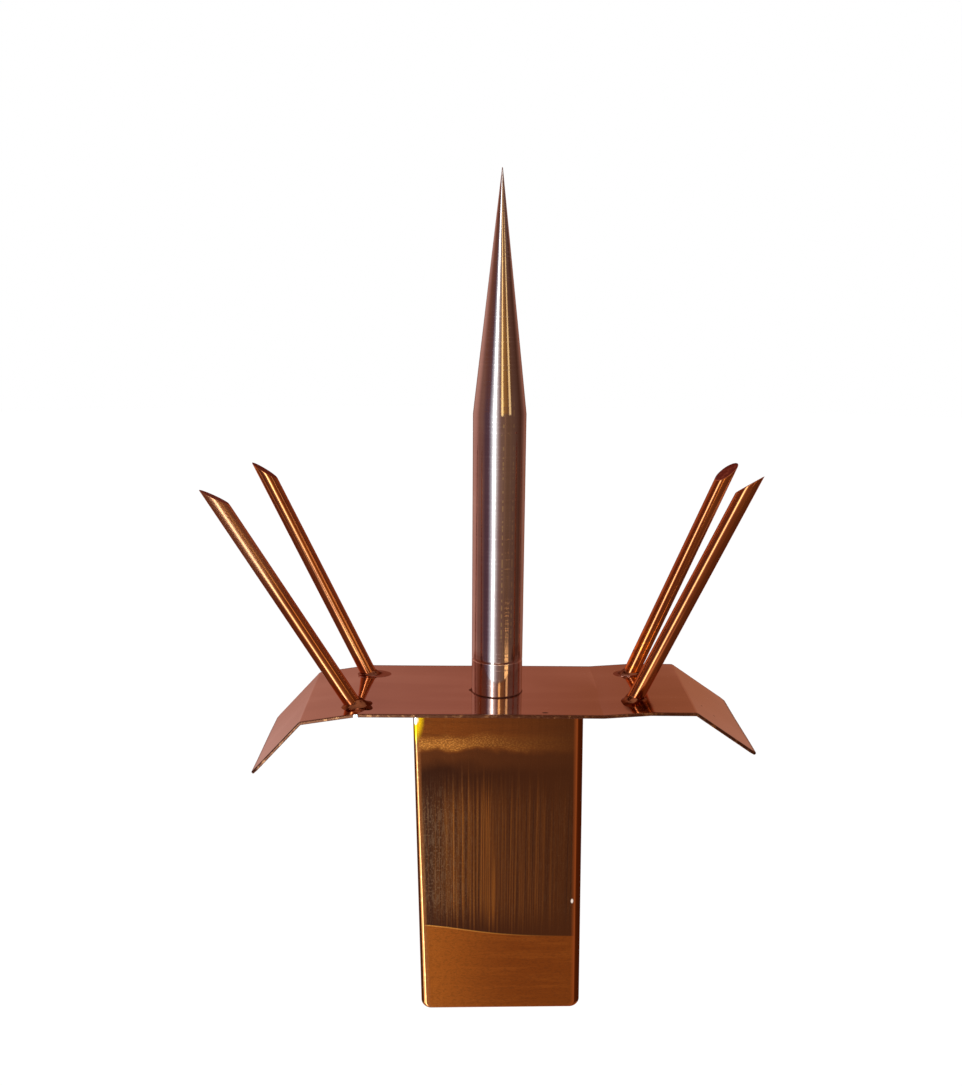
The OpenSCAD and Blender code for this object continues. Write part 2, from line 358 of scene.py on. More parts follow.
class Groups:
    """Shader groups that several finishes share, each built once."""

    def __init__(self) -> None:
        """Builds every group."""
        self.grain = self.make_grain()
        self.tarnish = self.make_tarnish()
        self.spot = self.make_spot()
        self.rim = self.make_rim()

    @staticmethod
    def start(
        name: str, inputs: dict[str, str], outputs: dict[str, str]
    ) -> tuple[Bench, bpy.types.NodeOutputs, bpy.types.NodeInputs]:
        """Starts a group.

        Args:
            name: name of the group.
            inputs, outputs: names of its sockets, with their kinds.

        Returns:
            The bench, the sockets that feed the group, and the sockets that it fills.
        """
        tree = bpy.data.node_groups.new(name, "ShaderNodeTree")
        for way, sockets in (("INPUT", inputs), ("OUTPUT", outputs)):
            for socket, kind in sockets.items():
                tree.interface.new_socket(name=socket, in_out=way, socket_type=f"NodeSocket{kind}")
        bench = Bench(tree)
        return bench, bench.add("NodeGroupInput").outputs, bench.add("NodeGroupOutput").inputs

    def make_grain(self) -> bpy.types.NodeTree:
        """Grain that is drawn out along a direction: rough and smooth noise of the stretched place."""
        inputs = {"Vector": "Vector", "Stretch": "Vector"}
        bench, given, made = self.start("drawn_grain", inputs, {"Value": "Float", "Smooth": "Float"})
        place = bench.vector("MULTIPLY", given["Vector"], given["Stretch"]).outputs[0]
        coarse, fine = bench.noise(place, 1.0, 3.0), bench.noise(place, 6.0, 2.0)
        bench.feed(made["Value"], bench.math("ADD", bench.times(coarse, 0.6), bench.times(fine, 0.4)))
        bench.feed(made["Smooth"], bench.noise(place, 1.0, 0.0))
        return bench.tree

    def make_tarnish(self) -> bpy.types.NodeTree:
        """Cloudy change from a clean colour to a stained one."""
        inputs = {"Vector": "Vector", "Scale": "Float", "Amount": "Float", "Clean": "Color", "Stain": "Color"}
        bench, given, made = self.start("tarnish", inputs, {"Color": "Color"})
        cloud = bench.step(bench.noise(given["Vector"], given["Scale"], 4.0), 0.35, 0.7)
        mask = bench.times(cloud, given["Amount"])
        bench.feed(made["Color"], bench.mix(mask, given["Clean"], given["Stain"]))
        return bench.tree

    def make_spot(self) -> bpy.types.NodeTree:
        """Soft spot: 1 inside an ellipsoid with a given centre and half axes, 0 outside."""
        inputs = {"Vector": "Vector", "Centre": "Vector", "Reach": "Vector"}
        bench, given, made = self.start("spot", inputs, {"Mask": "Float"})
        away = bench.vector("SUBTRACT", given["Vector"], given["Centre"]).outputs[0]
        share = bench.vector("DIVIDE", away, given["Reach"]).outputs[0]
        far = bench.vector("LENGTH", share).outputs["Value"]
        bench.feed(made["Mask"], bench.step(far, 0.55, 1.0, (1, 0)))
        return bench.tree

    def make_rim(self) -> bpy.types.NodeTree:
        """Cut edge: its own colour with flecks of painted glints where the rim's value is 1."""
        inputs = {"Vector": "Vector", "Rim": "Float", "Face": "Color", "Edge": "Color", "Fleck": "Color"}
        bench, given, made = self.start("rim_with_glints", inputs, {"Color": "Color"})
        # painted highlight: bright flecks along the cut edges
        flecks = bench.step(bench.noise(given["Vector"], 480.0, 3.0), 0.5, 0.72)
        edge = bench.mix(flecks, given["Edge"], given["Fleck"])
        bench.feed(made["Color"], bench.mix(given["Rim"], given["Face"], edge))
        return bench.tree


class MetalBench(Bench):
    """Bench of one metal's material, with its shader, the place on the part and the shared groups."""

    def __init__(self, material: bpy.types.Material, edge_tint: Colour, groups: Groups) -> None:
        """Empties the material and adds its one metal shader.

        Args:
            material: the material that is worked on.
            edge_tint: colour that the metal turns to at a grazing angle.
            groups: the shared shader groups.
        """
        super().__init__(cleared(material))
        self.groups = groups
        self.shader = self.add("ShaderNodeBsdfPrincipled", {"Metallic": 1.0, "Specular Tint": edge_tint})
        self.add("ShaderNodeOutputMaterial", {"Surface": self.shader.outputs[0]})
        self.place = self.add("ShaderNodeTexCoord").outputs["Object"]
        self.x, self.y, self.z = self.add("ShaderNodeSeparateXYZ", {0: self.place}).outputs

    def mark(self, name: str, output: str = "Fac") -> Socket:
        """Value that the piece's mesh holds at each point."""
        return self.add("ShaderNodeAttribute", attribute_name=name).outputs[output]

    def grain(self, *stretch: float, along: Socket | None = None) -> bpy.types.NodeOutputs:
        """Grain of the place, or of a place along the piece, stretched by a number for each axis."""
        return self.group(self.groups.grain, vector=along or self.place, stretch=stretch).outputs

    def tarnish(
        self, scale: float, amount: float, clean: Colour, stain: Colour, along: Socket | None = None
    ) -> Socket:
        """Colour that changes in clouds from clean to stained."""
        looks = {"scale": scale, "amount": amount, "clean": clean, "stain": stain}
        return self.group(self.groups.tarnish, vector=along or self.place, **looks).outputs[0]

    def spot(self, centre: Triple, reach: Triple) -> Socket:
        """Mask of a soft spot, its centre and half axes in millimetres."""
        size = {"centre": metres(centre), "reach": metres(reach)}
        return self.group(self.groups.spot, vector=self.place, **size).outputs[0]

    def rim(self, face: object, edge: object, fleck: object, along: Socket | None = None) -> Socket:
        """Colour of a face with its cut edges and their painted glints."""
        looks = {"rim": self.mark("rim"), "face": face, "edge": edge, "fleck": fleck}
        return self.group(self.groups.rim, vector=along or self.place, **looks).outputs[0]

    def finish(self, colour: Socket, roughness: Socket, normal: Socket) -> None:
        """Feeds the metal shader."""
        for name, value in (("Base Color", colour), ("Roughness", roughness), ("Normal", normal)):
            self.feed(self.shader.inputs[name], value)


@dataclass(frozen=True)
class Finish(ABC):
    """A metal surface: colour, gloss and relief that its own nodes work out.

    Attributes:
        name: name of the material.
        edge_tint: colour that the metal turns to at a grazing angle.
    """

    name: str
    edge_tint: Colour

    def material(self, groups: Groups) -> bpy.types.Material:
        """Makes the material, with one metal shader."""
        material = bpy.data.materials.new(self.name)
        self.dress(MetalBench(material, self.edge_tint, groups))
        return material

    @abstractmethod
    def dress(self, bench: MetalBench) -> None:
        """Works out the colour, roughness and normal.

        Args:
            bench: the bench of the material.
        """


@dataclass(frozen=True)
class TurnedCopper(Finish):
    """Bright copper off the lathe: fine rings round the axis, sparse deeper ones, a faint tarnish and rows of
    painted glints.

    Attributes:
        glint_rows: rows of tiny painted glints along the axis, bright dots that stand in for a reflection,
            with their place across, in mm, and strength.
        glint_span: lowest and highest place of the painted glints, in mm, which are on the front only.
        ring, chatter: how the grain of the rings and of the deeper marks is stretched.
    """

    name: str = "turned_copper"
    edge_tint: Colour = (0.8, 0.7, 0.66, 1.0)
    clean: Colour = linear(176, 140, 126)
    stain: Colour = linear(162, 122, 112)
    edge: Colour = linear(226, 188, 172)
    fleck: Colour = linear(240, 210, 196)
    painted_glint: Colour = linear(252, 214, 150)
    glint_rows: tuple[Pair, ...] = ((1.7, 0.42), (6.4, 0.24))
    glint_span: Pair = (116.0, 234.0)
    ring: Triple = (12.0, 12.0, 1100.0)
    chatter: Triple = (240.0, 240.0, 420.0)

    def painted_glints(self, bench: MetalBench, face: Socket) -> Socket:
        """Rows of painted glints on the front, bright dots that stand in for a reflection, broken up along
        the axis.

        Args:
            bench: the bench of the material.
            face: colour of the bare face.

        Returns:
            The colour with the painted glints.
        """
        low, high = (end * MM for end in self.glint_span)
        # painted highlight: dotted bright rows on the front only, standing in for a reflection
        beads = bench.times(
            bench.step(bench.grain(9.0, 9.0, 520.0)["Smooth"], 0.47, 0.56),
            bench.step(bench.y, -MM, MM, (1, 0)),
            bench.step(bench.z, low, low + 4 * MM),
            bench.step(bench.z, high - 4 * MM, high, (1, 0)),
        )
        for across, share in self.glint_rows:
            off = bench.math("ABSOLUTE", bench.math("SUBTRACT", bench.x, across * MM))
            row = bench.step(off, 0.15 * MM, 0.4 * MM, (share, 0.0))
            face = bench.mix(bench.times(row, beads), face, self.painted_glint)
        return face

    def dress(self, bench: MetalBench) -> None:
        """Rings of tool feed change the tone a little; deeper ones tilt the skin along the axis."""
        rings = bench.grain(*self.ring)
        tone = bench.spread(rings["Value"], 0.9, 1.08)
        shade = bench.add("ShaderNodeCombineColor", {0: tone, 1: tone, 2: tone}).outputs[0]
        cloud = bench.tarnish(38.0, 0.7, self.clean, self.stain)
        face = self.painted_glints(bench, bench.mix(1.0, cloud, shade, "MULTIPLY"))
        chatter = bench.step(bench.grain(*self.chatter)["Value"], 0.45, 0.6)
        deep = bench.times(bench.step(rings["Smooth"], 0.52, 0.66), chatter)
        feed = bench.bump(rings["Smooth"], 0.08, 0.02 * MM)
        bench.finish(
            bench.rim(face, self.edge, self.fleck),
            bench.spread(rings["Smooth"], 0.07, 0.13),
            bench.bump(deep, 0.5, 0.02 * MM, feed),
        )


@dataclass(frozen=True)
class PolishedSheet(Finish):
    """Rolled and polished sheet with faint clouds, cut edges, a painted dark patch where it mirrors the front
    right rod, and a few pits.

    Attributes:
        shade_patch: centre and half axes of the painted shade in front of the front right rod, in mm.
        white_spot: centre and half axes of the small white spot in the front edge, in mm.
        pits: centres and half axes of the pits, in mm.
    """

    name: str = "polished_sheet"
    edge_tint: Colour = (0.941, 0.848, 0.81, 1.0)
    clean: Colour = linear(231, 198, 185)
    cloud: Colour = linear(220, 187, 175)
    edge: Colour = linear(84, 43, 26)
    fleck: Colour = linear(134, 80, 48)
    wiped: Colour = linear(242, 214, 203)
    dirt: Colour = linear(48, 22, 16)
    # colour of the small white spot on the front edge
    bare: Colour = linear(255, 248, 240)
    # painted shade: colour of the dark patch where the sheet mirrors the front right rod
    flux: Colour = linear(112, 64, 44)
    shade_patch: Spot = ((67.5, -29.0, 91.9), (8.0, 13.0, 4.0))
    white_spot: Spot = ((-66.9, -40.4, 88.0), (1.2, 0.9, 6.0))
    pits: tuple[Spot, ...] = (
        ((99.9, -17.7, 88.2), (0.55, 1.1, 0.8)),
        ((105.6, -21.1, 84.2), (0.6, 1.2, 0.8)),
        ((22.5, -36.5, 90.7), (1.9, 1.0, 0.5)),
    )

    def dress(self, bench: MetalBench) -> None:
        """Faint clouds, wiped streaks and rolling lines along X, then the painted dark patch, edges with
        painted glints, pits and a small white spot.
        """
        rolling = bench.grain(30.0, 700.0, 700.0)["Value"]
        wipe = bench.grain(11.0, 70.0, 40.0)["Smooth"]
        face = bench.tarnish(24.0, 0.6, self.clean, self.cloud)
        face = bench.mix(bench.step(wipe, 0.52, 0.7, (0, 0.35)), face, self.wiped)
        face = bench.mix(bench.step(wipe, 0.32, 0.46, (0.4, 0)), face, self.cloud)
        # painted shade: a dark patch where the sheet mirrors the front right rod
        patchy = bench.step(bench.noise(bench.place, 330.0, 3.0), 0.36, 0.5, (0.55, 1.0))
        face = bench.mix(bench.times(bench.spot(*self.shade_patch), patchy), face, self.flux)
        colour = bench.rim(face, self.edge, self.fleck)
        for pit in self.pits:
            colour = bench.mix(bench.spot(*pit), colour, self.dirt)
        # a small white spot on the front edge
        colour = bench.mix(bench.spot(*self.white_spot), colour, self.bare)
        worn = bench.step(bench.mark("rim"), 0.0, 1.0, (0.0, 0.25))
        rough = bench.math("ADD", bench.spread(rolling, 0.05, 0.1), worn)
        bench.finish(colour, rough, bench.bump(rolling, 0.03, 0.01 * MM))


@dataclass(frozen=True)
class DrawnRod(Finish):
    """Drawn round rod: red-brown copper, with fine lines along its length.

    Attributes:
        sheen_top: how far the rod's upper end is painted a paler tan, a painted sheen, and made rougher.
        scuffed: whether the rod is mottled by heat near its foot.
    """

    name: str = "drawn_rod"
    edge_tint: Colour = (0.72, 0.5, 0.46, 1.0)
    clean: Colour = linear(172, 90, 48)
    stain: Colour = linear(152, 74, 42)
    line: Colour = linear(184, 98, 50)
    # painted sheen: paler tan of the rod's upper end
    tan: Colour = linear(180, 109, 72)
    scuff: Colour = linear(214, 104, 40)
    edge: Colour = linear(122, 60, 50)
    fleck: Colour = linear(150, 86, 68)
    sheen_top: float = 0.0
    scuffed: bool = False

    def dress(self, bench: MetalBench) -> None:
        """Lines follow the rod; its upper end may carry a painted sheen and be rougher, its foot may be
        mottled, and the cut face is duller.
        """
        along = bench.mark("local", "Vector")
        height = bench.add("ShaderNodeSeparateXYZ", {0: along}).outputs["Z"]
        lines = bench.grain(700.0, 700.0, 4.0, along=along)["Smooth"]
        cloud = bench.tarnish(60.0, 0.8, self.clean, self.stain, along)
        colour = bench.mix(bench.step(lines, 0.5, 0.7, (0.0, 0.35)), cloud, self.line)
        rough = bench.spread(lines, 0.08, 0.12)
        relief = lines
        if self.sheen_top:
            # painted sheen: paler tan towards the upper end, where it is also rougher
            sheen_zone = bench.step(height, 52 * MM, 88 * MM, (0.0, self.sheen_top))
            colour = bench.mix(sheen_zone, colour, self.tan)
            rough = bench.math("ADD", rough, bench.times(sheen_zone, 0.22))
        if self.scuffed:
            low = bench.step(height, 12 * MM, 34 * MM, (1, 0))
            patch = bench.noise(along, 420.0, 3.0)
            colour = bench.mix(bench.times(low, bench.step(patch, 0.46, 0.56)), colour, self.scuff)
            relief = bench.math("ADD", relief, bench.times(low, patch, 28.0))
        colour = bench.rim(colour, self.edge, self.fleck, along)
        bench.finish(colour, rough, bench.bump(relief, 0.02, 0.03 * MM))


@dataclass(frozen=True)
class BrushedBar(Finish):
    """Flat bar, brushed downwards: heat stained gold at the top, then painted reflections, dark in the middle
    and orange at the foot.

    Attributes:
        bite: how much the brush has bitten from the left edge to the right, as distance in mm and share.
        glow: how strong the gold heat stain is from the left edge to the right.
        gold_low: height of the stain's lower end, in mm.
        foot_high, foot_rise: height of the line above the painted reflection at the foot, at its right end,
            and its rise to the left, in mm.
        half_width: half of the bar's width, in mm.
        ding, run, glint_core: centres and half axes, in mm, of a ding, of a painted yellow highlight at the
            top left edge and of the painted white glare in it.
    """

    name: str = "brushed_bar"
    edge_tint: Colour = (0.68, 0.5, 0.46, 1.0)
    # dark and dark_right: the bar's face as a painted dark reflection
    dark: Colour = linear(58, 30, 18)
    dark_right: Colour = linear(70, 35, 17)
    brushed: Colour = linear(119, 64, 25)
    grit: Colour = linear(132, 98, 68)
    gold: Colour = linear(130, 66, 24)
    gold_fleck: Colour = linear(224, 148, 66)
    # foot_left and foot_right: the painted orange reflection at the foot
    foot_left: Colour = linear(150, 79, 28)
    foot_right: Colour = linear(114, 54, 17)
    # painted highlight: yellow and white of a glint at the top left edge
    glint_yellow: Colour = linear(255, 200, 16)
    glare: Colour = linear(255, 252, 225)
    bare: Colour = linear(240, 220, 205)
    smear: Colour = linear(100, 52, 24)
    back: Colour = linear(104, 56, 28)
    back_stain: Colour = linear(78, 40, 22)
    edge: Colour = linear(150, 88, 46)
    # painted shade: darker colour of the right edge
    shaded_edge_right: Colour = linear(138, 64, 26)
    fleck: Colour = linear(170, 106, 60)
    bite: tuple[Pair, ...] = (
        (-42, 0.15), (-33, 0.2), (-27, 0.5), (-23, 0.9), (-15, 0.85), (-8, 0.6), (-5, 1.25), (-1, 1.2),
        (3, 0.5), (22, 0.4), (34, 0.18), (42, 0.06),
    )
    glow: tuple[Pair, ...] = ((-42, 0.95), (-22, 0.85), (0, 0.5), (20, 0.28), (42, 0.1))
    gold_low: float = 60.0
    foot_high: float = -45.3
    foot_rise: float = 6.1
    half_width: float = 43.0
    ding: Spot = ((40.8, -6.0, -24.6), (0.8, 3.0, 1.6))
    run: Spot = ((-42.8, -4.5, 78.0), (7.5, 9.0, 17.0))
    glint_core: Spot = ((-41.0, -6.0, 76.0), (2.4, 6.0, 3.0))

    def across(self, bench: MetalBench, stops: tuple[Pair, ...]) -> Socket:
        """Share of an effect across the bar.

        Args:
            bench: the bench of the material.
            stops: distance from the bar's middle line, in mm, and share, from the left to the right.

        Returns:
            The share.
        """
        half = self.half_width
        limits = {"Value": bench.x, "From Min": -half * MM, "From Max": half * MM}
        share = bench.add("ShaderNodeMapRange", limits).outputs[0]
        line = [((at + half) / (2 * half), (level, level, level, 1.0)) for at, level in stops]
        return bench.ramp(share, line)

    def brush_marks(self, bench: MetalBench, base: Socket) -> tuple[Socket, Socket, Socket]:
        """Streaks of the brush over the dark base, which is a painted dark reflection, dark scratches in
        them, and grit marks at the left.

        Args:
            bench: the bench of the material.
            base: colour of the dark base, a painted dark reflection.

        Returns:
            The colour, the brushed zone's mask and the height of the streaks.
        """
        lines = bench.grain(1050.0, 0.0, 5.0)["Smooth"]
        bands = bench.grain(380.0, 0.0, 5.0)["Value"]
        ends = bench.grain(900.0, 0.0, 1.0)["Smooth"]
        shore = bench.math("ADD", bench.z, bench.times(bench.math("SUBTRACT", ends, 0.5), 30 * MM))
        upper, lower = bench.step(shore, 22 * MM, 50 * MM, (1, 0)), bench.step(shore, -46 * MM, -22 * MM)
        zone = bench.times(upper, lower)
        broad, narrow = bench.step(bands, 0.36, 0.64, (0.1, 0.65)), bench.step(lines, 0.46, 0.62, (0.0, 0.75))
        streaks = bench.times(zone, self.across(bench, self.bite), bench.math("ADD", broad, narrow))
        colour = bench.mix(streaks, base, self.brushed)
        scratch = bench.step(bench.grain(1150.0, 9.0, 3.0)["Smooth"], 0.54, 0.62, (0.0, 0.75))
        colour = bench.mix(bench.times(zone, scratch), colour, self.dark)
        grit = bench.step(bench.grain(1300.0, 0.0, 900.0)["Smooth"], 0.54, 0.68)
        dash = bench.step(bench.grain(1400.0, 4.0, 150.0)["Smooth"], 0.55, 0.66, (0.0, 0.8))
        left = bench.step(bench.x, -30 * MM, -4 * MM, (0.26, 0.05))
        specks = bench.times(zone, left, bench.math("MAXIMUM", grit, dash))
        return bench.mix(specks, colour, self.grit), zone, lines

    def heat_stain(self, bench: MetalBench, colour: Socket) -> tuple[Socket, Socket]:
        """Gold heat stain along the top, with the fine peel that it left.

        Args:
            bench: the bench of the material.
            colour: colour below the stain.

        Returns:
            The colour and the height of the peel.
        """
        wave = bench.times(bench.math("SUBTRACT", bench.noise(bench.place, 45.0, 3.0), 0.5), 18 * MM)
        level = bench.math("ADD", bench.z, wave)
        glow = self.across(bench, self.glow)
        low = (self.gold_low - 2) * MM
        burnt = bench.step(level, (self.gold_low - 13) * MM, (self.gold_low - 3) * MM, (0, 0.8))
        colour = bench.mix(bench.times(burnt, glow), colour, self.smear)
        zone = bench.times(bench.step(level, low, (self.gold_low + 2) * MM), glow)
        peel = bench.grain(1000.0, 0.0, 1700.0)["Smooth"]
        drift = bench.grain(26.0, 0.0, 420.0)["Value"]
        fade = bench.step(level, low + 6 * MM, low + 13 * MM, (1, 0))
        band = bench.times(bench.step(level, low, low + 5 * MM), fade, zone)
        gold = bench.mix(bench.step(drift, 0.4, 0.7, (0, 0.35)), self.gold, self.dark)
        gold = bench.mix(bench.times(band, 0.3), gold, self.gold_fleck)
        gold = bench.mix(bench.times(bench.step(peel, 0.46, 0.64, (0, 0.75)), band), gold, self.gold_fleck)
        return bench.mix(zone, colour, gold), bench.times(peel, zone)

    def foot(self, bench: MetalBench, colour: Socket, leftness: Socket) -> Socket:
        """Painted reflection at the foot: orange below a bowed line, mottled, with dark specks and a painted
        highlight along the line.

        Args:
            bench: the bench of the material.
            colour: colour above the foot.
            leftness: 1 at the bar's left edge and 0 at its right.

        Returns:
            The colour with the foot.
        """
        half = self.half_width * MM
        bow = bench.times(bench.math("POWER", leftness, 2.2), self.foot_rise * MM)
        below = bench.math("SUBTRACT", bench.math("ADD", self.foot_high * MM, bow), bench.z)
        mottle = bench.grain(22.0, 60.0, 380.0)["Value"]
        rubbed = bench.grain(700.0, 60.0, 1500.0)["Smooth"]
        foot = bench.mix(bench.step(bench.x, -half, 0.35 * half), self.foot_left, self.foot_right)
        foot = bench.mix(bench.step(mottle, 0.45, 0.68, (0, 0.3)), foot, self.foot_left)
        foot = bench.mix(bench.step(rubbed, 0.5, 0.7, (0, 0.2)), foot, self.dark_right)
        # painted reflection: a pale surface mirrored below a curved edge
        colour = bench.mix(bench.step(below, -0.3 * MM, 0.3 * MM), colour, foot)
        # painted highlight along that line, on the left
        edge_glint = bench.step(bench.math("ABSOLUTE", below), 0.1 * MM, 0.5 * MM, (0.6, 0.0))
        return bench.mix(bench.times(edge_glint, leftness), colour, self.gold_fleck)

    def dress(self, bench: MetalBench) -> None:
        """Zones down the bar: gold peel, painted dark reflection with brushed streaks, painted orange
        reflection at the foot; then back, edges with the right one in painted shade, a painted highlight and
        a ding.
        """
        half = self.half_width * MM
        rightness = bench.step(bench.x, -half, half)
        # painted reflection: the dark base stands in for the dark room that the face mirrors
        base = bench.mix(rightness, self.dark, self.dark_right)
        colour, brushed, lines = self.brush_marks(bench, base)
        colour, peel = self.heat_stain(bench, colour)
        colour = self.foot(bench, colour, bench.math("SUBTRACT", 1.0, rightness))
        plain = bench.tarnish(30.0, 0.8, self.back, self.back_stain)
        colour = bench.mix(bench.step(bench.y, -3.2 * MM, -2.8 * MM), colour, plain)
        # painted shade: the right edge is darker than the left so that it doesn't mirror the pale floor as a
        # bright line
        edge = bench.mix(rightness, self.edge, self.shaded_edge_right)
        colour = bench.rim(colour, edge, bench.mix(rightness, self.fleck, self.shaded_edge_right))
        # painted highlight: the yellow spot at the top left edge and its white glare stand in for light
        # caught between the sheet and the bar
        for spot, tint in ((self.run, self.glint_yellow), (self.glint_core, self.glare), (self.ding, self.bare)):
            colour = bench.mix(bench.spot(*spot), colour, tint)
        rough = bench.math("ADD", bench.spread(lines, 0.1, 0.16), bench.times(brushed, 0.08))
        rough = bench.times(rough, bench.step(bench.mark("rim"), 0.0, 1.0, (1.0, 0.3)))
        strokes = bench.bump(bench.times(lines, brushed), 0.15, 0.02 * MM)
        bench.finish(colour, rough, bench.bump(peel, 0.25, 0.05 * MM, strokes))


@dataclass(frozen=True)
class BrazeMetal(Finish):
    """Braze that has set in glossy lumps, brown with dark flux stains.

    Attributes:
        thinned: colour of the bead where it has run out thin over the sheet.
    """

    name: str = "braze"
    edge_tint: Colour = (0.72, 0.55, 0.5, 1.0)
    clean: Colour = linear(134, 73, 45)
    stain: Colour = linear(76, 37, 24)
    thinned: Colour | None = None

    def dress(self, bench: MetalBench) -> None:
        """Dark flux stains over brown metal, and a fine rippled skin."""
        colour = bench.tarnish(170.0, 0.9, self.clean, self.stain)
        ripple = bench.noise(bench.place, 420.0, 2.0)
        if self.thinned:
            # partly painted shade: the slope up the rod keeps the darker brown so that it doesn't mirror the
            # bright window; the thin outskirts take the sheet's paler colour
            colour = bench.mix(bench.step(bench.mark("climb"), 0.0, 0.1), self.thinned, colour)
        bench.finish(colour, bench.spread(ripple, 0.06, 0.16), bench.bump(ripple, 0.45, 0.3 * MM))


class Piece(ABC):
    """One shown piece: a surface that stands for one CAD node and rides on the part."""

    node: str
    slot: Slot

    @abstractmethod
    def grid(self) -> Grid:
        """Points of the surface."""

    def build(self) -> bpy.types.Object:
        """Makes the piece's object, rides it on the part and hides the plain solid.

        Returns:
            The object, at the origin, with its place in its mesh.
        """
        made = add_object(f"{self.node}_dressed", self.grid().mesh(self.node))
        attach(made, BODY)
        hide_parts(self.node)
        log.info("%s: %d points", made.name, len(made.data.vertices))
        return made

    def dress(self, made: bpy.types.Object, material: bpy.types.Material) -> None:
        """Gives the piece its finish."""
        made.data.materials.append(material)


@dataclass
class TurnedPiece(Piece):
    """A piece turned about the spike's axis, with its sizes taken from its CAD node's box."""

    node: str
    slot: Slot = Slot.TURNED
    corner: float = 0.05 * MM

    def __post_init__(self) -> None:
        """Takes the axis, radius and ends from the node."""
        low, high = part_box(self.node)
        self.axis = ((low[0] + high[0]) / 2, (low[1] + high[1]) / 2)
        self.radius = (high[0] - low[0]) / 2
        self.low, self.high = low[2], high[2]


@dataclass
class TurnedSpike(TurnedPiece):
    """Spike: straight shank with one faint tool ring, and a long straight point."""

    node: str = "spike"
    shank: float = 118.5 * MM
    ring_drop: float = 8.2 * MM
    ring_width: float = 0.35 * MM
    ring_depth: float = 0.05 * MM
    tip: float = 0.2 * MM
    foot_corner: float = 0.03 * MM
    pitch: float = 1.2 * MM

    def grid(self) -> Grid:
        """Profile from the foot's middle to the tip, turned about the axis."""
        r, brk = self.radius, self.low + self.shank
        ring = brk - self.ring_drop
        corners = [
            (0, self.low),
            (r - self.foot_corner, self.low),
            (r, self.low + self.foot_corner),
            (r, ring - self.ring_width),
            (r - self.ring_depth, ring),
            (r, ring + self.ring_width),
            (r, brk - self.corner),
            (r - self.corner * r / (self.high - brk) / 2, brk + self.corner),
            (self.tip, self.high - self.tip),
            (self.tip * 0.7, self.high - self.tip * 0.3),
            (0, self.high),
        ]
        return Grid(turned(polyline(corners, self.pitch), self.axis))


@dataclass
class BaseCollar(TurnedPiece):
    """Collar under the spike, its upper edge rubbed bright at the seam, with painted glints along it."""

    node: str = "base_collar"
    height: float = 17 * MM
    rubbed: float = 0.35 * MM
    pitch: float = 0.8 * MM
    edge_pitch: float = 0.1 * MM

    def grid(self) -> Grid:
        """Profile from the foot's middle up to the seam and in again."""
        r, seam = self.radius, self.low + self.height
        side = polyline([(r, self.low), (r, seam - self.rubbed)], self.pitch)
        edge = [(r, seam - 0.8 * self.rubbed), (r, seam - self.corner), (r - self.corner, seam)]
        edge = polyline(edge, self.edge_pitch)
        profile = np.concatenate([[(0, self.low)], side, edge, [(0, seam)]])
        rim = np.concatenate([np.zeros(1 + len(side)), np.ones(len(edge) + 1)])
        points = turned(profile, self.axis)
        return Grid(points, {"rim": np.broadcast_to(rim[:, None], points.shape[:2])})


@dataclass(frozen=True)
class Bend:
    """A straight stretch of the sheet and the bend at its far end.

    Attributes:
        length: from the last bend's corner to this bend's corner.
        turn: angle of the bend in degrees, up being positive.
        radius: inside radius of the bend.
    """

    length: float
    turn: float = 0.0
    radius: float = 1.0 * MM


@dataclass
class SheetSection:
    """Section of the canopy sheet across the spike, to both sides.

    Attributes:
        thickness: of the sheet.
        left, right: the stretches from the spike outwards.
        bend_points: points of each bend's arc, both ends included.
    """

    thickness: float = 1.5 * MM
    left: tuple[Bend, ...] = (Bend(67 * MM, -9, 12 * MM), Bend(27 * MM, -38), Bend(35 * MM))
    right: tuple[Bend, ...] = (
        Bend(50 * MM, 4, 12 * MM), Bend(22 * MM, -4, 12 * MM), Bend(22 * MM, -34.5), Bend(35.5 * MM),
    )
    bend_points: int = 10

    def walk(self, side: Side, pitch: float = 2.5 * MM) -> tuple[np.ndarray, np.ndarray]:
        """Line of the sheet's top face from the spike outwards, straight stretches joined by arcs.

        Args:
            side: the side that is walked.
            pitch: distance between points on the straight.

        Returns:
            Points as distance out and height, and the heading at each in radians.
        """
        corner, heading, used = np.zeros(2), 0.0, 0.0
        points, headings = [], []
        for bend in self.left if side is Side.LEFT else self.right:
            turn = math.radians(bend.turn)
            radius = bend.radius + (self.thickness if turn < 0 else 0)
            setback = radius * math.tan(abs(turn) / 2)
            ahead = np.array([math.cos(heading), math.sin(heading)])
            run = np.linspace(used, bend.length - setback, max(3, int(bend.length / pitch)))
            points.append(corner + run[:, None] * ahead)
            headings.append(np.full(len(run), heading))
            if turn:
                way = math.copysign(1, turn)
                above = np.array([-math.sin(heading), math.cos(heading)])
                centre = corner + (bend.length - setback) * ahead + way * radius * above
                angle = heading + turn * np.linspace(0, 1, self.bend_points)[1:-1]
                points.append(centre - way * radius * np.stack([-np.sin(angle), np.cos(angle)], -1))
                headings.append(angle)
            corner = corner + bend.length * ahead
            heading += turn
            used = setback
        return np.concatenate(points), np.concatenate(headings)

    def at(self, side: Side, out: float) -> Pair:
        """Height of the top face over the flat middle, and its heading in radians, at a distance out."""
        points, headings = self.walk(side)
        far, heights = points.T
        return float(np.interp(out, far, heights)), float(np.interp(out, far, headings))


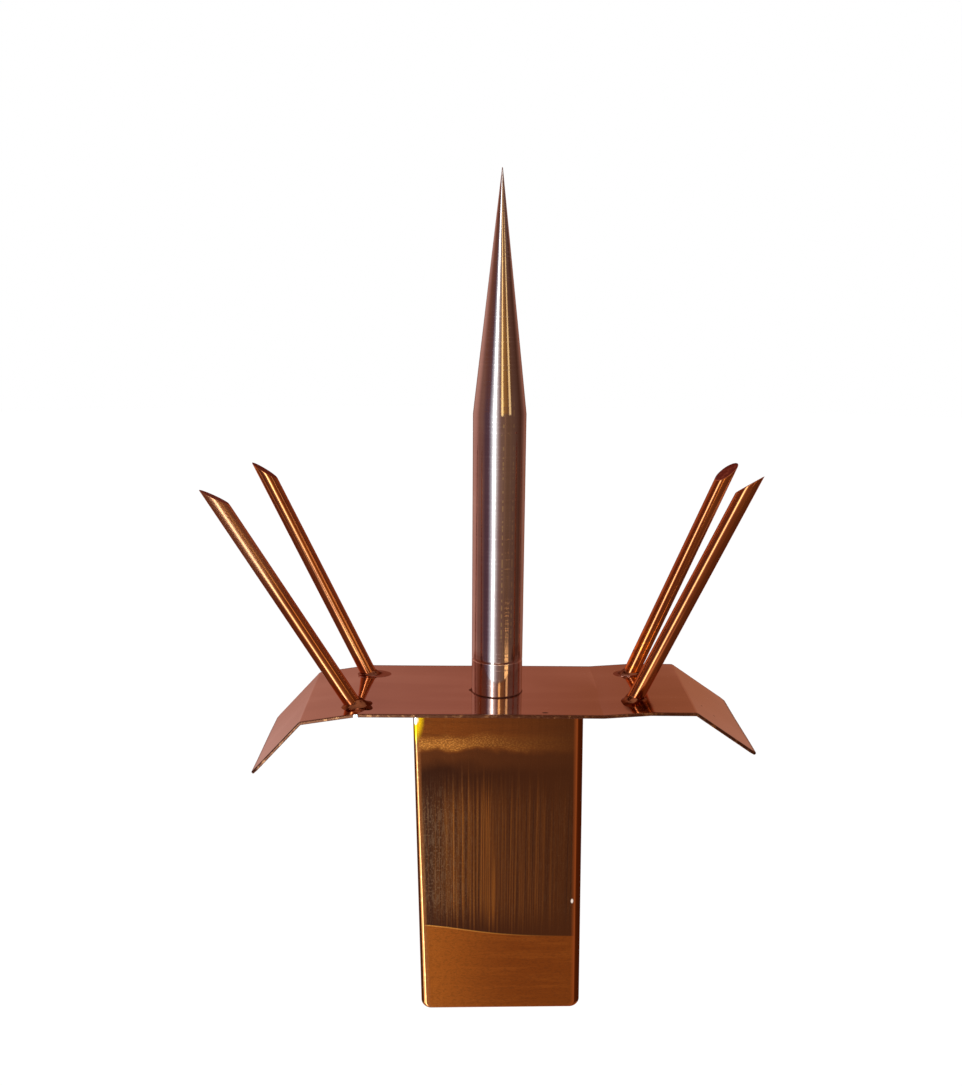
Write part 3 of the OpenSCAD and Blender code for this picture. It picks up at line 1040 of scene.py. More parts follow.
@dataclass
class CanopySheet(Piece):
    """Folded sheet: a thin rounded rectangle across the depth, carried along the bent section.

    Attributes:
        section: the bent section.
        edge_round: radius of the cut edges.
        snip: how much the corners of the wings are cut off.
        wave: height of the sheet's slight waves.
        edge_points, across: points of each edge's arc and across the flat.
    """

    section: SheetSection
    node: str = "canopy_sheet"
    slot: Slot = Slot.SHEET
    edge_round: float = 0.4 * MM
    snip: float = 1.0 * MM
    wave: float = 0.07 * MM
    edge_points: int = 6
    across: int = 60

    def stations(self) -> tuple[np.ndarray, np.ndarray]:
        """Points of the top face from the left wing's edge to the right wing's, and their headings."""
        left, left_heading = self.section.walk(Side.LEFT)
        right, right_heading = self.section.walk(Side.RIGHT)
        line = np.concatenate([left[::-1] * [-1, 1], right[1:]])
        return line, np.concatenate([-left_heading[::-1], right_heading[1:]])

    def loop(self, inset: np.ndarray, thin: np.ndarray) -> tuple[np.ndarray, np.ndarray, np.ndarray]:
        """Rounded rectangle across the depth at each station.

        The corner arcs have the edge's radius e: (y1 - e + e sin a, t/2 - e + e cos a) and its mirror images.

        Args:
            inset: how far the loop draws in at each station, at front and back.
            thin: share of the full thickness at each station.

        Returns:
            Depth and height off the middle of the sheet for each station and point, and the rim's value.
        """
        low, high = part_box(self.node)
        e, half = self.edge_round, self.section.thickness / 2
        a = np.linspace(0, QUARTER, self.edge_points)
        flat = np.linspace(low[1] + e, high[1] - e, self.across)[1:-1]
        y = np.concatenate([low[1] + e - e * np.cos(a), flat, high[1] - e + e * np.sin(a)])
        h = np.concatenate([half - e + e * np.sin(a), np.full(len(flat), half), half - e + e * np.cos(a)])
        rim = np.concatenate([np.ones(len(a)), np.zeros(len(flat)), np.ones(len(a))])
        y, h = np.concatenate([y, y[::-1]]), np.concatenate([h, -h[::-1]])
        middle = (low[1] + high[1]) / 2
        reach = (high[1] - low[1]) / 2
        y = middle + (y - middle) * (1 - inset[:, None] / reach)
        return y, h * thin[:, None], np.concatenate([rim, rim[::-1]])

    def waves(self, s: np.ndarray, y: np.ndarray) -> np.ndarray:
        """Slight waves sin(9s + 40y) cos(5s - 55y) + sin(23s + 70y) / 2 over the sheet.

        Args:
            s: share of the way along the sheet.
            y: depth.

        Returns:
            Height of the waves.
        """
        wave = np.sin(9 * s + 40 * y) * np.cos(5 * s - 55 * y) + 0.5 * np.sin(23 * s + 70 * y)
        return self.wave * wave

    def grid(self) -> Grid:
        """Point = top line + depth + height along the normal, with slight waves."""
        line, heading = self.stations()
        e, half, count = self.edge_round, self.section.thickness / 2, self.edge_points
        length = np.concatenate([[0], np.cumsum(np.linalg.norm(np.diff(line, axis=0), axis=1))])
        inset = np.maximum(0, self.snip - np.minimum(length, length[-1] - length))
        core = (length > e) & (length < length[-1] - e)
        rows, turn, inset = (held(values, core, count) for values in (line, heading, inset))
        arc = np.linspace(QUARTER, 0, count)[:-1]
        draw = np.concatenate([[0], e - e * np.sin(arc)])[:, None]
        rise = np.concatenate([[0], (half - e + e * np.cos(arc)) / half])
        ahead = np.stack([np.cos(turn), np.sin(turn)], -1)
        rows[:count] += draw * ahead[:count]
        rows[-count:] -= draw[::-1] * ahead[-count:]
        thin = np.concatenate([rise, np.ones(core.sum()), rise[::-1]])
        y, h, rim = self.loop(inset, thin)
        normal = np.stack([-np.sin(turn), np.cos(turn)], -1)
        offset = h - half + self.waves(np.linspace(0, 1, len(rows))[:, None], y)
        x = rows[:, :1] + normal[:, :1] * offset
        z = rows[:, 1:] + normal[:, 1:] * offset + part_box("base_collar")[0][2]
        return Grid(np.stack([x, y, z], -1), {"rim": np.maximum(rim * np.ones_like(y), (thin < 1)[:, None])})


@dataclass
class ScarfRod(Piece):
    """Round rod that leans from the sheet, cut by one slanting cut whose face looks to the spike.

    Attributes:
        side: side of the spike.
        out, back: foot's distance from the spike's axis, outwards and to the back.
        length: from the sheet to the point.
        lean, fore: leans outwards and to the front, in degrees.
        turn: turn of the cut to the front, in degrees.
        run_way: way of the braze run, 0 to the spike and 90 to the front.
        scarf: angle between the cut face and the rod's axis, in degrees.
        bevel: length of the broken edge at the cut.
        sink: how far the foot reaches into the braze.
    """

    section: SheetSection
    node: str
    side: Side
    out: float
    back: float
    length: float
    lean: float
    fore: float
    turn: float
    run_way: float
    slot: Slot = Slot.DRAWN
    radius: float = 4 * MM
    scarf: float = 33.0
    bevel: float = 0.45 * MM
    sink: float = 0.25 * MM
    columns: int = 96
    side_rows: int = 60
    corner_rows: int = 7
    face_rows: int = 9

    def foot(self) -> tuple[np.ndarray, np.ndarray]:
        """Foot's middle on the sheet and the sheet's normal there, before the side is mirrored."""
        height, heading = self.section.at(self.side, self.out)
        return np.array([self.out, self.back, height]), np.array([-math.sin(heading), 0, math.cos(heading)])

    def stand(self, points: np.ndarray) -> np.ndarray:
        """Carries points from the spike axis and the sheet's top to the part's frame, on the rod's side."""
        low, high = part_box("base_collar")
        return points * [self.side.value, 1, 1] + np.array([0, (low[1] + high[1]) / 2, low[2]])

    def grid(self) -> Grid:
        """Rows up the rod: foot cut z = -(n . xy) / (n . axis), cut face z = L - (r - x') / tan(scarf)."""
        foot, normal = self.foot()
        lie = turn_about("X", self.fore) @ turn_about("Y", self.lean)
        angle = around(self.columns)
        xy = self.radius * np.stack([np.cos(angle), np.sin(angle), 0 * angle], -1)
        tilt = normal @ lie
        low = -(xy @ tilt) / tilt[2] - self.sink
        slope = 1 / math.tan(math.radians(self.scarf))
        high = self.length - self.radius * (1 - np.cos(angle - math.radians(self.turn))) * slope

        up = np.array([0, 0, 1.0])
        rim = xy + high[:, None] * up
        middle = (self.length - self.radius * slope) * up
        inward = (middle - rim) / np.linalg.norm(middle - rim, axis=1, keepdims=True)
        side_end, face_start = rim - self.bevel * up, rim + self.bevel * inward
        shares = np.linspace(0, 1, self.side_rows)[:, None, None]
        shell = (xy + low[:, None] * up) * (1 - shares) + side_end * shares
        corner = bent(side_end, rim, face_start, self.corner_rows)[1:]
        shares = np.linspace(0, 1, self.face_rows)[1:, None, None]
        face = face_start + (middle - face_start) * shares
        base = np.broadcast_to(low.mean() * up, (1, self.columns, 3))
        rows = np.concatenate([base, shell, corner, face])
        cut = np.concatenate([np.zeros(1 + len(shell)), np.linspace(0, 1, len(corner)), np.ones(len(face))])
        marks = {"rim": np.broadcast_to(cut[:, None], rows.shape[:2]), "local": rows}
        return Grid(self.stand(rows @ lie.T + foot), marks)


@dataclass
class BrazeMound(Piece):
    """Braze at a rod's foot: a bead on the sheet, a fillet up the rod and a tongue that flowed to one side.

    Attributes:
        rod: the rod that it holds.
        seed: seed of its lumps.
        reach: radius of the bead.
        bead: height of the bead.
        height: height of the fillet at the rod, above the bead.
        skirt: how fast the fillet falls off.
        lumps: height of the lumps.
        tongue: how much further the bead reaches on its own side.
        uneven: how much the fillet's height varies round the rod.
        fall: power by which the bead thins out to its edge.
        wavy, billow: how much the bead's edge varies, and its height towards the edge.
        narrow: how narrow the tongue is.
        overlap: share of the rod's radius from which the fillet falls off.
        ripples: half waves of the lumps from the rod to the edge.
        sink: how far the closed underside lies in the sheet.
    """

    rod: ScarfRod
    seed: int
    reach: float = 6.0 * MM
    bead: float = 1.5 * MM
    height: float = 2.2 * MM
    skirt: float = 1.5 * MM
    lumps: float = 0.3 * MM
    tongue: float = 3.0 * MM
    uneven: float = 0.22
    fall: float = 1.4
    wavy: float = 0.09
    billow: float = 0.25
    narrow: float = 3.0
    overlap: float = 0.9
    ripples: float = 2.2
    sink: float = 0.15 * MM
    slot: Slot = Slot.BRAZE
    columns: int = 144
    rings: int = 60

    @property
    def node(self) -> str:
        """The CAD node that this mound stands for."""
        return self.rod.node.replace("rod", "braze")

    def grid(self) -> Grid:
        """Height over the sheet = (B + H exp(-(d / s)^1.5) + lumps) (1 - q^2)^p.

        Here q is the share of the way to the bead's wavy edge, and d the distance from the rod's foot line.
        """
        foot, normal = self.rod.foot()
        ahead = np.array([normal[2], 0, -normal[0]])
        angle = around(self.columns)
        way = math.pi + math.radians(self.rod.run_way)
        edge = self.reach * (1 + self.wavy * wobble(angle, self.seed, range(2, 8)))
        edge = edge + self.tongue * np.exp(self.narrow * (np.cos(angle - way) - 1))
        q = np.sin(np.linspace(0, QUARTER, self.rings))[:, None]
        u, v = q * edge * np.cos(angle), q * edge * np.sin(angle)
        leant = u * math.cos(math.radians(self.rod.lean))
        gap = np.maximum(0, np.hypot(leant, v) - self.overlap * self.rod.radius)
        cling = np.exp(-((gap / self.skirt) ** 1.5))
        rise = self.height * (1 + self.uneven * wobble(angle, self.seed + 2, range(1, 6)))
        skin = (1 - q**2) ** self.fall
        bead = self.bead * (1 + self.billow * wobble(angle, self.seed + 3, range(1, 7)) * q) * skin
        waves = wobble(angle, self.seed + 1, range(2, 7)) * np.sin(self.ripples * math.pi * q)
        height = np.maximum(bead + rise * cling * skin + self.lumps * waves * skin, 0)
        top = foot + u[..., None] * ahead + v[..., None] * [0, 1, 0] + height[..., None] * normal
        under = np.broadcast_to(foot - self.sink * normal, (1, self.columns, 3))
        climb = np.concatenate([cling * skin, np.zeros((1, self.columns))])
        return Grid(self.rod.stand(np.concatenate([top, under])), {"climb": climb})


@dataclass
class BrazeFillet(Piece):
    """Hollow, uneven braze fillet in a corner between a flat face and an upright one.

    Attributes:
        leg: length of its legs.
        mean, vary: mean of the legs and their changes, as shares of that length.
        waves: the waves that are summed to those changes.
        hollow: share of the legs at which the curve's control point lies.
        steps: rows of the curve.
        depth: how far the hidden side lies in the upright face.
        seed: seed of the changes.
    """

    node: str
    leg: float
    mean: float
    vary: float
    waves: range
    hollow: float
    steps: int
    depth: float
    seed: int
    slot: Slot = Slot.BRAZE

    def legs(self, angle: np.ndarray) -> np.ndarray:
        """Length of the legs at each place along the fillet."""
        return self.leg * (self.mean + self.vary * wobble(angle, self.seed, self.waves))

    def curve(self, leg: np.ndarray, way: int) -> np.ndarray:
        """Quadratic curve between the ends of the two legs.

        Args:
            leg: length of both legs at each place.
            way: 1 if the fillet climbs up the upright face, -1 if it hangs down.

        Returns:
            Distance out and height, for each row and place.
        """
        flat, upright = np.stack([leg, 0 * leg], -1), np.stack([0 * leg, way * leg], -1)
        return bent(flat, self.hollow * (flat + upright), upright, self.steps)


@dataclass
class CollarBraze(BrazeFillet):
    """Thin fillet round the collar's foot, with one dark bead at its left.

    Attributes:
        bead: how much longer the legs are at the bead.
        bead_way: where the bead lies round the collar, in degrees.
        bead_focus: how narrow the bead is.
        sink: how far the hidden side lies in the sheet.
    """

    node: str = "braze_collar"
    leg: float = 0.6 * MM
    mean: float = 0.62
    vary: float = 0.3
    waves: range = range(3, 20)
    hollow: float = 0.3
    steps: int = 9
    depth: float = 0.3 * MM
    seed: int = 5
    bead: float = 1.1 * MM
    bead_way: float = 178.0
    bead_focus: float = 90.0
    sink: float = 0.1 * MM
    columns: int = 240

    def grid(self) -> Grid:
        """Fillet from the sheet up to the collar, turned about the collar's axis."""
        low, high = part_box("base_collar")
        angle = around(self.columns)
        away = 1 - np.cos(angle - math.radians(self.bead_way))
        leg = self.legs(angle) + self.bead * np.exp(-self.bead_focus * away)
        deep = np.full_like(leg, -self.depth)
        upper, lower = np.stack([deep, leg], -1)[None], np.stack([deep, 0 * leg - self.sink], -1)[None]
        section = np.concatenate([lower, self.curve(leg, 1), upper, lower])
        r = (high[0] - low[0]) / 2 + section[..., 0]
        x = (low[0] + high[0]) / 2 + r * np.cos(angle)
        y = (low[1] + high[1]) / 2 + r * np.sin(angle)
        return Grid(np.stack([x, y, low[2] + section[..., 1]], -1))


@dataclass
class BarShape:
    """Outline of the mounting bar and its place under the sheet.

    Attributes:
        width, thickness, length: of the bar.
        lean: angle from the spike's axis, in degrees, its lower end to the right.
        shift: offset of its top to the right.
    """

    width: float = 85.5 * MM
    thickness: float = 6 * MM
    length: float = 178.5 * MM
    lean: float = 1.0
    shift: float = 0.7 * MM

    def stand(self, points: np.ndarray, leaning: bool = True) -> np.ndarray:
        """Carries points from the middle of the bar's top to the part's frame.

        Args:
            points: points with the bar hanging along -Z.
            leaning: whether they lean with the bar.

        Returns:
            The points in the part's frame.
        """
        low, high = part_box("mounting_bar")
        lie = turn_about("Y", -self.lean if leaning else 0)
        return points @ lie.T + [self.shift, (low[1] + high[1]) / 2, high[2]]


@dataclass
class MountingBar(Piece):
    """Flat bar: a rounded rectangle carried down, with rounded lower corners and a soft lower edge.

    Attributes:
        shape: the bar's outline.
        edge_left_top, edge_left_low, shaded_edge_right: radii of the upright edges.
        corner: radius of the lower corners.
        lower_edge: radius of the lower edge.
    """

    shape: BarShape
    node: str = "mounting_bar"
    slot: Slot = Slot.BAR
    edge_left_top: float = 1.5 * MM
    edge_left_low: float = 3.0 * MM
    shaded_edge_right: float = 3.0 * MM
    corner: float = 4.0 * MM
    lower_edge: float = 0.9 * MM
    arc_points: int = 12
    face_points: int = 40
    straight_rows: int = 90
    corner_rows: int = 28

    def section(self, half: np.ndarray, thick: np.ndarray, left: np.ndarray) -> tuple[np.ndarray, np.ndarray]:
        """Rounded rectangle at each height: four corner arcs (c sin a, c cos a) and the faces between.

        Args:
            half: half width of each row.
            thick: half thickness of each row.
            left: radius of the left edge's corners in each row.

        Returns:
            X and Y of each row and point, and the value of the rim for each.
        """
        a = np.linspace(0, QUARTER, self.arc_points)
        sine, cosine = 1 - np.sin(a), 1 - np.cos(a)
        half, thick = half[:, None], thick[:, None]
        left = np.minimum(left[:, None], thick)
        right = np.minimum(self.shaded_edge_right, thick)
        share = np.linspace(0, 1, self.face_points)[1:-1]
        face = (-half + left) + share * (2 * half - left - right)
        flat = np.ones_like(face)
        arcs_x = -half + left * cosine, half - right * sine, half - right * cosine, -half + left * sine
        arcs_y = -thick + left * sine, -thick + right * cosine, thick - right * sine, thick - left * cosine
        x = np.concatenate([arcs_x[0], face, *arcs_x[1:3], face[:, ::-1], arcs_x[3]], 1)
        y = np.concatenate([arcs_y[0], -thick * flat, *arcs_y[1:3], thick * flat, arcs_y[3]], 1)
        on, off = np.ones(len(a)), np.zeros(len(share))
        return np.stack([x, y], -1), np.concatenate([on, off, on, on, off, on])

    def grid(self) -> Grid:
        """Rows from the top down; lower corners draw in the width by R (1 - cos), the edge the thickness."""
        size = self.shape
        straight = np.linspace(0, size.length - self.corner, self.straight_rows)[:-1]
        swing = np.linspace(0, QUARTER, self.corner_rows)
        drop = np.concatenate([straight, size.length - self.corner * (1 - np.sin(swing))])
        left_over = size.length - drop
        near = np.maximum(0, 1 - left_over / self.corner)
        half = size.width / 2 - self.corner * (1 - np.sqrt(1 - near**2))
        close = np.maximum(0, 1 - left_over / self.lower_edge)
        thick = size.thickness / 2 - self.lower_edge * (1 - np.sqrt(1 - close**2))
        left = self.edge_left_top + (self.edge_left_low - self.edge_left_top) * drop / size.length
        section, rim = self.section(half, thick, left)
        top = np.tan(math.radians(-size.lean)) * section[0, :, 0]
        z = -drop[:, None] + top * (1 - drop[:, None] / size.length)
        rows = np.concatenate([section, z[..., None]], -1)
        caps = rows[[0, -1]] * [1, 0, 1]
        rows = np.concatenate([caps[:1], rows, caps[1:]])
        rim_rows = np.maximum(rim, np.concatenate([[0], close > 0, [1]])[:, None])
        return Grid(size.stand(rows), {"rim": rim_rows * np.ones(rows.shape[:2])})


@dataclass
class BarBraze(BrazeFillet):
    """Fillet along the front of the bar's top and round its ends, uneven as a hand lays it.

    Attributes:
        shape: the bar's outline.
        end_turn: how far it runs round the bar's ends to the back, in degrees.
        end_leg, taper: share of the legs at the fillet's ends, and how fast they grow from there.
        end_rows, front_rows: rows round each end and along the front.
    """

    node: str = "braze_bar"
    leg: float = 4.0 * MM
    mean: float = 0.86
    vary: float = 0.1
    waves: range = range(6, 40)
    hollow: float = 0.34
    steps: int = 10
    depth: float = 1.0 * MM
    seed: int = 17
    shape: BarShape = field(default_factory=BarShape)
    end_turn: float = 25.0
    end_leg: float = 0.2
    taper: float = 14.0
    end_rows: int = 24
    front_rows: int = 120

    def grid(self) -> Grid:
        """Hollow fillet carried along the bar's outline; each place holds its outward way."""
        size = self.shape
        reach, r = (size.width - size.thickness) / 2, size.thickness / 2
        swing = np.radians(np.linspace(self.end_turn, -90, self.end_rows))
        straight = np.linspace(reach, -reach, self.front_rows)[1:-1]
        way = np.concatenate([swing, np.full(len(straight), -QUARTER), -math.pi - swing[::-1]])[:, None]
        middle = np.concatenate([np.full(len(swing), reach), straight, np.full(len(swing), -reach)])
        along = np.linspace(0, 2 * math.pi, len(way))
        leg = self.legs(along)
        leg *= np.minimum(1, self.end_leg + self.taper * np.minimum(along, along[::-1]) / math.pi)
        deep = np.full_like(leg, -self.depth)
        inside = np.stack([np.stack([deep, -leg], -1), np.stack([deep, 0 * leg], -1)])
        section = np.moveaxis(np.concatenate([self.curve(leg, -1), inside]), 0, 1)
        out = r + section[..., 0]
        rows = np.stack([middle[:, None] + out * np.cos(way), out * np.sin(way), section[..., 1]], -1)
        ends = np.broadcast_to(rows[[0, -1]].mean(1, keepdims=True), (2, *rows.shape[1:]))
        return Grid(size.stand(np.concatenate([ends[:1], rows, ends[1:]]), leaning=False))


@dataclass
class LightningRod:
    """The whole part: its pieces in order, each with its finish."""

    section: SheetSection = field(default_factory=SheetSection)
    bar: BarShape = field(default_factory=BarShape)

    def rods(self) -> list[ScarfRod]:
        """The four rods, from the left to the right."""
        make = self.section
        return [
            ScarfRod(make, "rod_front_left", Side.LEFT, 69 * MM, -23 * MM, 123.5 * MM, 31, 2, -5, 20),
            ScarfRod(make, "rod_rear_left", Side.LEFT, 66 * MM, 27 * MM, 122 * MM, 26, -4.5, 7, 10),
            ScarfRod(make, "rod_front_right", Side.RIGHT, 66.5 * MM, -17 * MM, 123 * MM, 23, 7, -22, 75),
            ScarfRod(make, "rod_rear_right", Side.RIGHT, 70 * MM, 26 * MM, 119 * MM, 23.5, -6, 32, 0),
        ]

    @staticmethod
    def mounds(rods: list[ScarfRod]) -> list[BrazeMound]:
        """The braze at each rod's foot, each laid a little differently."""
        front_left, rear_left, front_right, rear_right = rods
        spread = {"bead": 0.5 * MM, "tongue": 6.0 * MM, "lumps": 0.1 * MM, "uneven": 0.1, "fall": 2.0}
        steep = {"bead": 0.3 * MM, "height": 3.2 * MM, "skirt": 2.2 * MM, "lumps": 0.05 * MM, "uneven": 0.08}
        return [
            BrazeMound(front_left, 11, bead=2.0 * MM, lumps=0.7 * MM, tongue=3.5 * MM, fall=1.1),
            BrazeMound(rear_left, 18, **spread),
            BrazeMound(front_right, 25, bead=1.6 * MM, lumps=0.7 * MM, tongue=4.5 * MM),
            BrazeMound(rear_right, 32, **steep, fall=2.0),
        ]

    def pieces(self) -> list[tuple[Piece, Finish]]:
        """Every piece with its finish."""
        rods = self.rods()
        drawn, copper, braze = DrawnRod(), TurnedCopper(), BrazeMetal()
        dark = BrazeMetal("dark_braze", clean=linear(92, 48, 34), stain=linear(46, 24, 18))
        # thin braze: its darker brown on the slope up the rod is partly painted shade
        thin = BrazeMetal(
            "thin_braze", clean=linear(128, 70, 46), stain=linear(84, 42, 30), thinned=linear(190, 142, 124)
        )
        worn = {
            "rod_front_left": DrawnRod("drawn_rod_sheen", sheen_top=0.9),
            "rod_rear_right": DrawnRod("drawn_rod_scuffed", scuffed=True),
        }
        return [
            (TurnedSpike(), copper),
            (BaseCollar(), copper),
            (CanopySheet(self.section), PolishedSheet()),
            (MountingBar(self.bar), BrushedBar()),
            *((rod, worn.get(rod.node, drawn)) for rod in rods),
            *((mound, thin if "rear" in mound.node else braze) for mound in self.mounds(rods)),
            (CollarBraze(), dark),
            (BarBraze(shape=self.bar), braze),
        ]

    def build(self, groups: Groups) -> None:
        """Builds and dresses every piece.

        Args:
            groups: the shared shader groups.
        """
        materials: dict[str, bpy.types.Material] = {}
        for piece, finish in self.pieces():
            if finish.name not in materials:
                materials[finish.name] = finish.material(groups)
            piece.dress(piece.build(), materials[finish.name])


def toward(azimuth: float, elevation: float) -> Vector:
    """Unit direction from the object: azimuth 0 is the front and grows to the right, in degrees."""
    a, e = math.radians(azimuth), math.radians(elevation)
    return Vector((math.sin(a) * math.cos(e), -math.cos(a) * math.cos(e), math.sin(e)))


@dataclass(frozen=True)
class StripLight:
    """A tall soft light that the metal mirrors as a streak.

    Attributes:
        name: name of the lamp.
        azimuth, elevation: where it stands, seen from the object, in degrees.
        width, height: its size as angles, in degrees.
        radiance: its brightness, where 1 is white.
        colour: its tint.
        only: the one CAD node whose piece it lights, where it is flagged off from the others.
        distance: how far it stands from its focus.
        focus: the point that it faces.
        along: direction that its long side follows.
    """

    name: str
    azimuth: float
    elevation: float
    width: float
    height: float
    radiance: float
    colour: Triple = (1.0, 1.0, 1.0)
    only: str = ""
    distance: float = 1.6
    focus: Triple = (0.0, 0.0, 0.14)
    along: Triple = (0.0, 0.0, 1.0)

    def place(self) -> None:
        """Adds the lamp, facing the object."""
        lamp = bpy.data.lights.new(self.name, "AREA")
        lamp.shape = "RECTANGLE"
        lamp.size = 2 * self.distance * math.tan(math.radians(self.width / 2))
        lamp.size_y = 2 * self.distance * math.tan(math.radians(self.height / 2))
        lamp.energy = 4 * self.radiance * lamp.size * lamp.size_y
        lamp.color = self.colour
        way, up = toward(self.azimuth, self.elevation), Vector(self.along)
        up = (up - up.dot(way) * way).normalized()
        holder = add_object(self.name, lamp)
        holder.location = Vector(self.focus) + way * self.distance
        holder.rotation_euler = Matrix((up.cross(way), up, way)).transposed().to_euler()
        holder.visible_camera = False
        if self.only:
            lit = bpy.data.collections.new(f"{self.name}_lit")
            lit.objects.link(bpy.data.objects[f"{self.only}_dressed"])
            holder.light_linking.receiver_collection = lit


@dataclass(frozen=True)
class Wall(ABC):
    """A curved wall of the room, seen only in the metal.

    Attributes:
        name: name of the wall.
        edges: where its lower and upper edge lie.
        tones: azimuth in degrees, red, green and blue at several places, in any order.
        distance: how far it stands from the object.
    """

    name: str
    edges: Pair
    tones: tuple[tuple[float, float, float, float], ...]
    distance: float
    columns: int = 160
    rows: int = 16

    @abstractmethod
    def skin(self, azimuth: np.ndarray) -> np.ndarray:
        """Points of the wall: rows between its edges, columns of azimuth in degrees."""

    def place(self) -> None:
        """Adds the wall, its tone held by its points."""
        stops = np.array(sorted(self.tones))
        azimuth = np.linspace(stops[0, 0], stops[-1, 0], self.columns)
        tone = np.stack([np.interp(azimuth, stops[:, 0], level) for level in stops[:, 1:].T], -1)
        skin = self.skin(azimuth)
        mesh = Grid(skin, {"tone": np.broadcast_to(tone, skin.shape)}, closed=False).plain(self.name)
        material = bpy.data.materials.new(self.name)
        bench = Bench(cleared(material))
        paint = bench.add("ShaderNodeAttribute", attribute_name="tone").outputs["Vector"]
        glow = bench.add("ShaderNodeEmission", {"Color": paint, "Strength": 1.0})
        bench.add("ShaderNodeOutputMaterial", {"Surface": glow.outputs[0]})
        mesh.materials.append(material)
        wall = add_object(self.name, mesh)
        wall.visible_camera = False
        wall.visible_diffuse = False
        wall.visible_shadow = False
        wall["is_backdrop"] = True


@dataclass(frozen=True)
class RoomWall(Wall):
    """A far wall, with its edges as elevations in degrees.

    Attributes:
        focus: the point round which it curves.
    """

    distance: float = 2.6
    focus: Triple = (0.0, 0.0, 0.14)

    def skin(self, azimuth: np.ndarray) -> np.ndarray:
        """Part of a ball's skin round the object."""
        e, a = np.radians(np.linspace(*self.edges, self.rows))[:, None], np.radians(azimuth)
        ball = np.stack([np.sin(a) * np.cos(e), -np.cos(a) * np.cos(e), np.sin(e) + 0 * a], -1)
        return ball * self.distance + self.focus


@dataclass(frozen=True)
class WindowPanel(Wall):
    """A tall curtained window close by, with its edges as heights, that is mirrored as a soft streak."""

    distance: float = 0.38

    def skin(self, azimuth: np.ndarray) -> np.ndarray:
        """Upright part of a cylinder round the object."""
        z, a = np.linspace(*self.edges, self.rows)[:, None], np.radians(azimuth)
        x, y = np.sin(a) * self.distance, -np.cos(a) * self.distance
        return np.stack([x + 0 * z, y + 0 * z, z + 0 * a], -1)


BEHIND = (
    (-180, 0.344, 0.144, 0.102), (-160, 0.479, 0.248, 0.197), (-142, 1.0, 0.8, 0.78),
    (140, 0.66, 0.43, 0.36), (158, 0.386, 0.161, 0.087), (180, 0.344, 0.144, 0.102),
)
WINDOWS = (
    WindowPanel("window", (-0.03, 0.48), (
        (-46, 0.2, 0.16, 0.26), (-44, 0.275, 0.255, 0.427), (-38, 0.6, 0.85, 1.2), (-32.5, 1.33, 2.08, 2.7),
        (-27.5, 2.0, 3.2, 4.1), (-24, 9.0, 15.0, 18.5), (-20, 9.0, 15.0, 18.5), (-16, 1.9, 2.96, 3.6),
        (-10.4, 1.21, 1.66, 1.98), (-5, 0.7, 0.78, 0.9), (0, 0.465, 0.43, 0.47), (5, 0.4, 0.34, 0.33),
    )),
    WindowPanel("low_window", (-0.42, -0.03), (
        (-36, 0.25, 0.22, 0.26), (-29, 0.7, 0.8, 0.9), (-24.5, 9.0, 15.0, 22.0), (-20, 9.0, 15.0, 22.0),
        (-16, 0.9, 1.0, 1.1), (-13, 0.5, 0.48, 0.46),
    )),
    WindowPanel("window_side", (-0.03, 0.16), (
        (5, 0.4, 0.34, 0.33), (11, 0.37, 0.305, 0.27), (12, 0.55, 0.46, 0.36), (13, 0.36, 0.295, 0.25),
        (20, 0.335, 0.27, 0.22), (22, 0.335, 0.27, 0.22), (23.5, 0.47, 0.37, 0.24), (25, 0.31, 0.245, 0.19),
        (32, 0.28, 0.215, 0.155),
    )),
)
ROOM = (
    RoomWall("room_low", (-19.2, 9), (
        *BEHIND, (-116, 0.8, 0.58, 0.56), (-99, 0.42, 0.29, 0.27), (-80, 0.37, 0.26, 0.245),
        (-62, 0.168, 0.125, 0.196), (-42, 0.2, 0.153, 0.235), (-20, 0.38, 0.34, 0.32),
        (20, 0.335, 0.27, 0.22), (22, 0.33, 0.265, 0.215), (23.5, 0.62, 0.47, 0.27), (25, 0.31, 0.245, 0.195),
        (36, 0.266, 0.2, 0.14), (48, 0.255, 0.193, 0.145), (49.5, 0.4, 0.32, 0.26), (51, 0.25, 0.19, 0.147),
        (65, 0.24, 0.18, 0.15), (100, 0.138, 0.076, 0.055), (118, 0.3, 0.2, 0.165),
    )),
    RoomWall("room_middle", (9, 16), (
        *BEHIND, (-116, 0.7, 0.5, 0.48), (-90, 0.36, 0.2, 0.15), (-62, 0.24, 0.14, 0.14),
        (-42, 0.24, 0.16, 0.2), (-10, 0.36, 0.25, 0.2), (12, 0.6, 0.45, 0.2), (26, 0.6, 0.4, 0.12),
        (38, 0.3, 0.18, 0.08), (65, 0.22, 0.15, 0.12), (100, 0.138, 0.076, 0.055), (118, 0.3, 0.2, 0.165),
    )),
    RoomWall("room_high", (16, 55), (
        *BEHIND, (-173, 0.361, 0.164, 0.126), (-116, 0.6, 0.42, 0.4), (-90, 0.36, 0.18, 0.1),
        (-62, 0.3, 0.16, 0.12), (-42, 0.24, 0.16, 0.2), (-10, 0.36, 0.25, 0.2), (12, 0.6, 0.45, 0.2),
        (38, 0.3, 0.22, 0.16), (65, 0.32, 0.27, 0.27), (100, 0.3, 0.24, 0.24), (118, 0.32, 0.22, 0.19),
        (171, 0.286, 0.104, 0.051),
    )),
    RoomWall("left_low", (-50, -19.2), (
        (-145, 0.5, 0.4, 0.4), (-125, 0.24, 0.17, 0.17), (-36, 0.24, 0.18, 0.2),
    ), 1.25),
    RoomWall("right_low", (-50, -19.2), (
        (14, 0.42, 0.33, 0.26), (40, 0.22, 0.17, 0.14), (125, 0.19, 0.14, 0.12), (145, 0.5, 0.4, 0.36),
    ), 1.25),
)
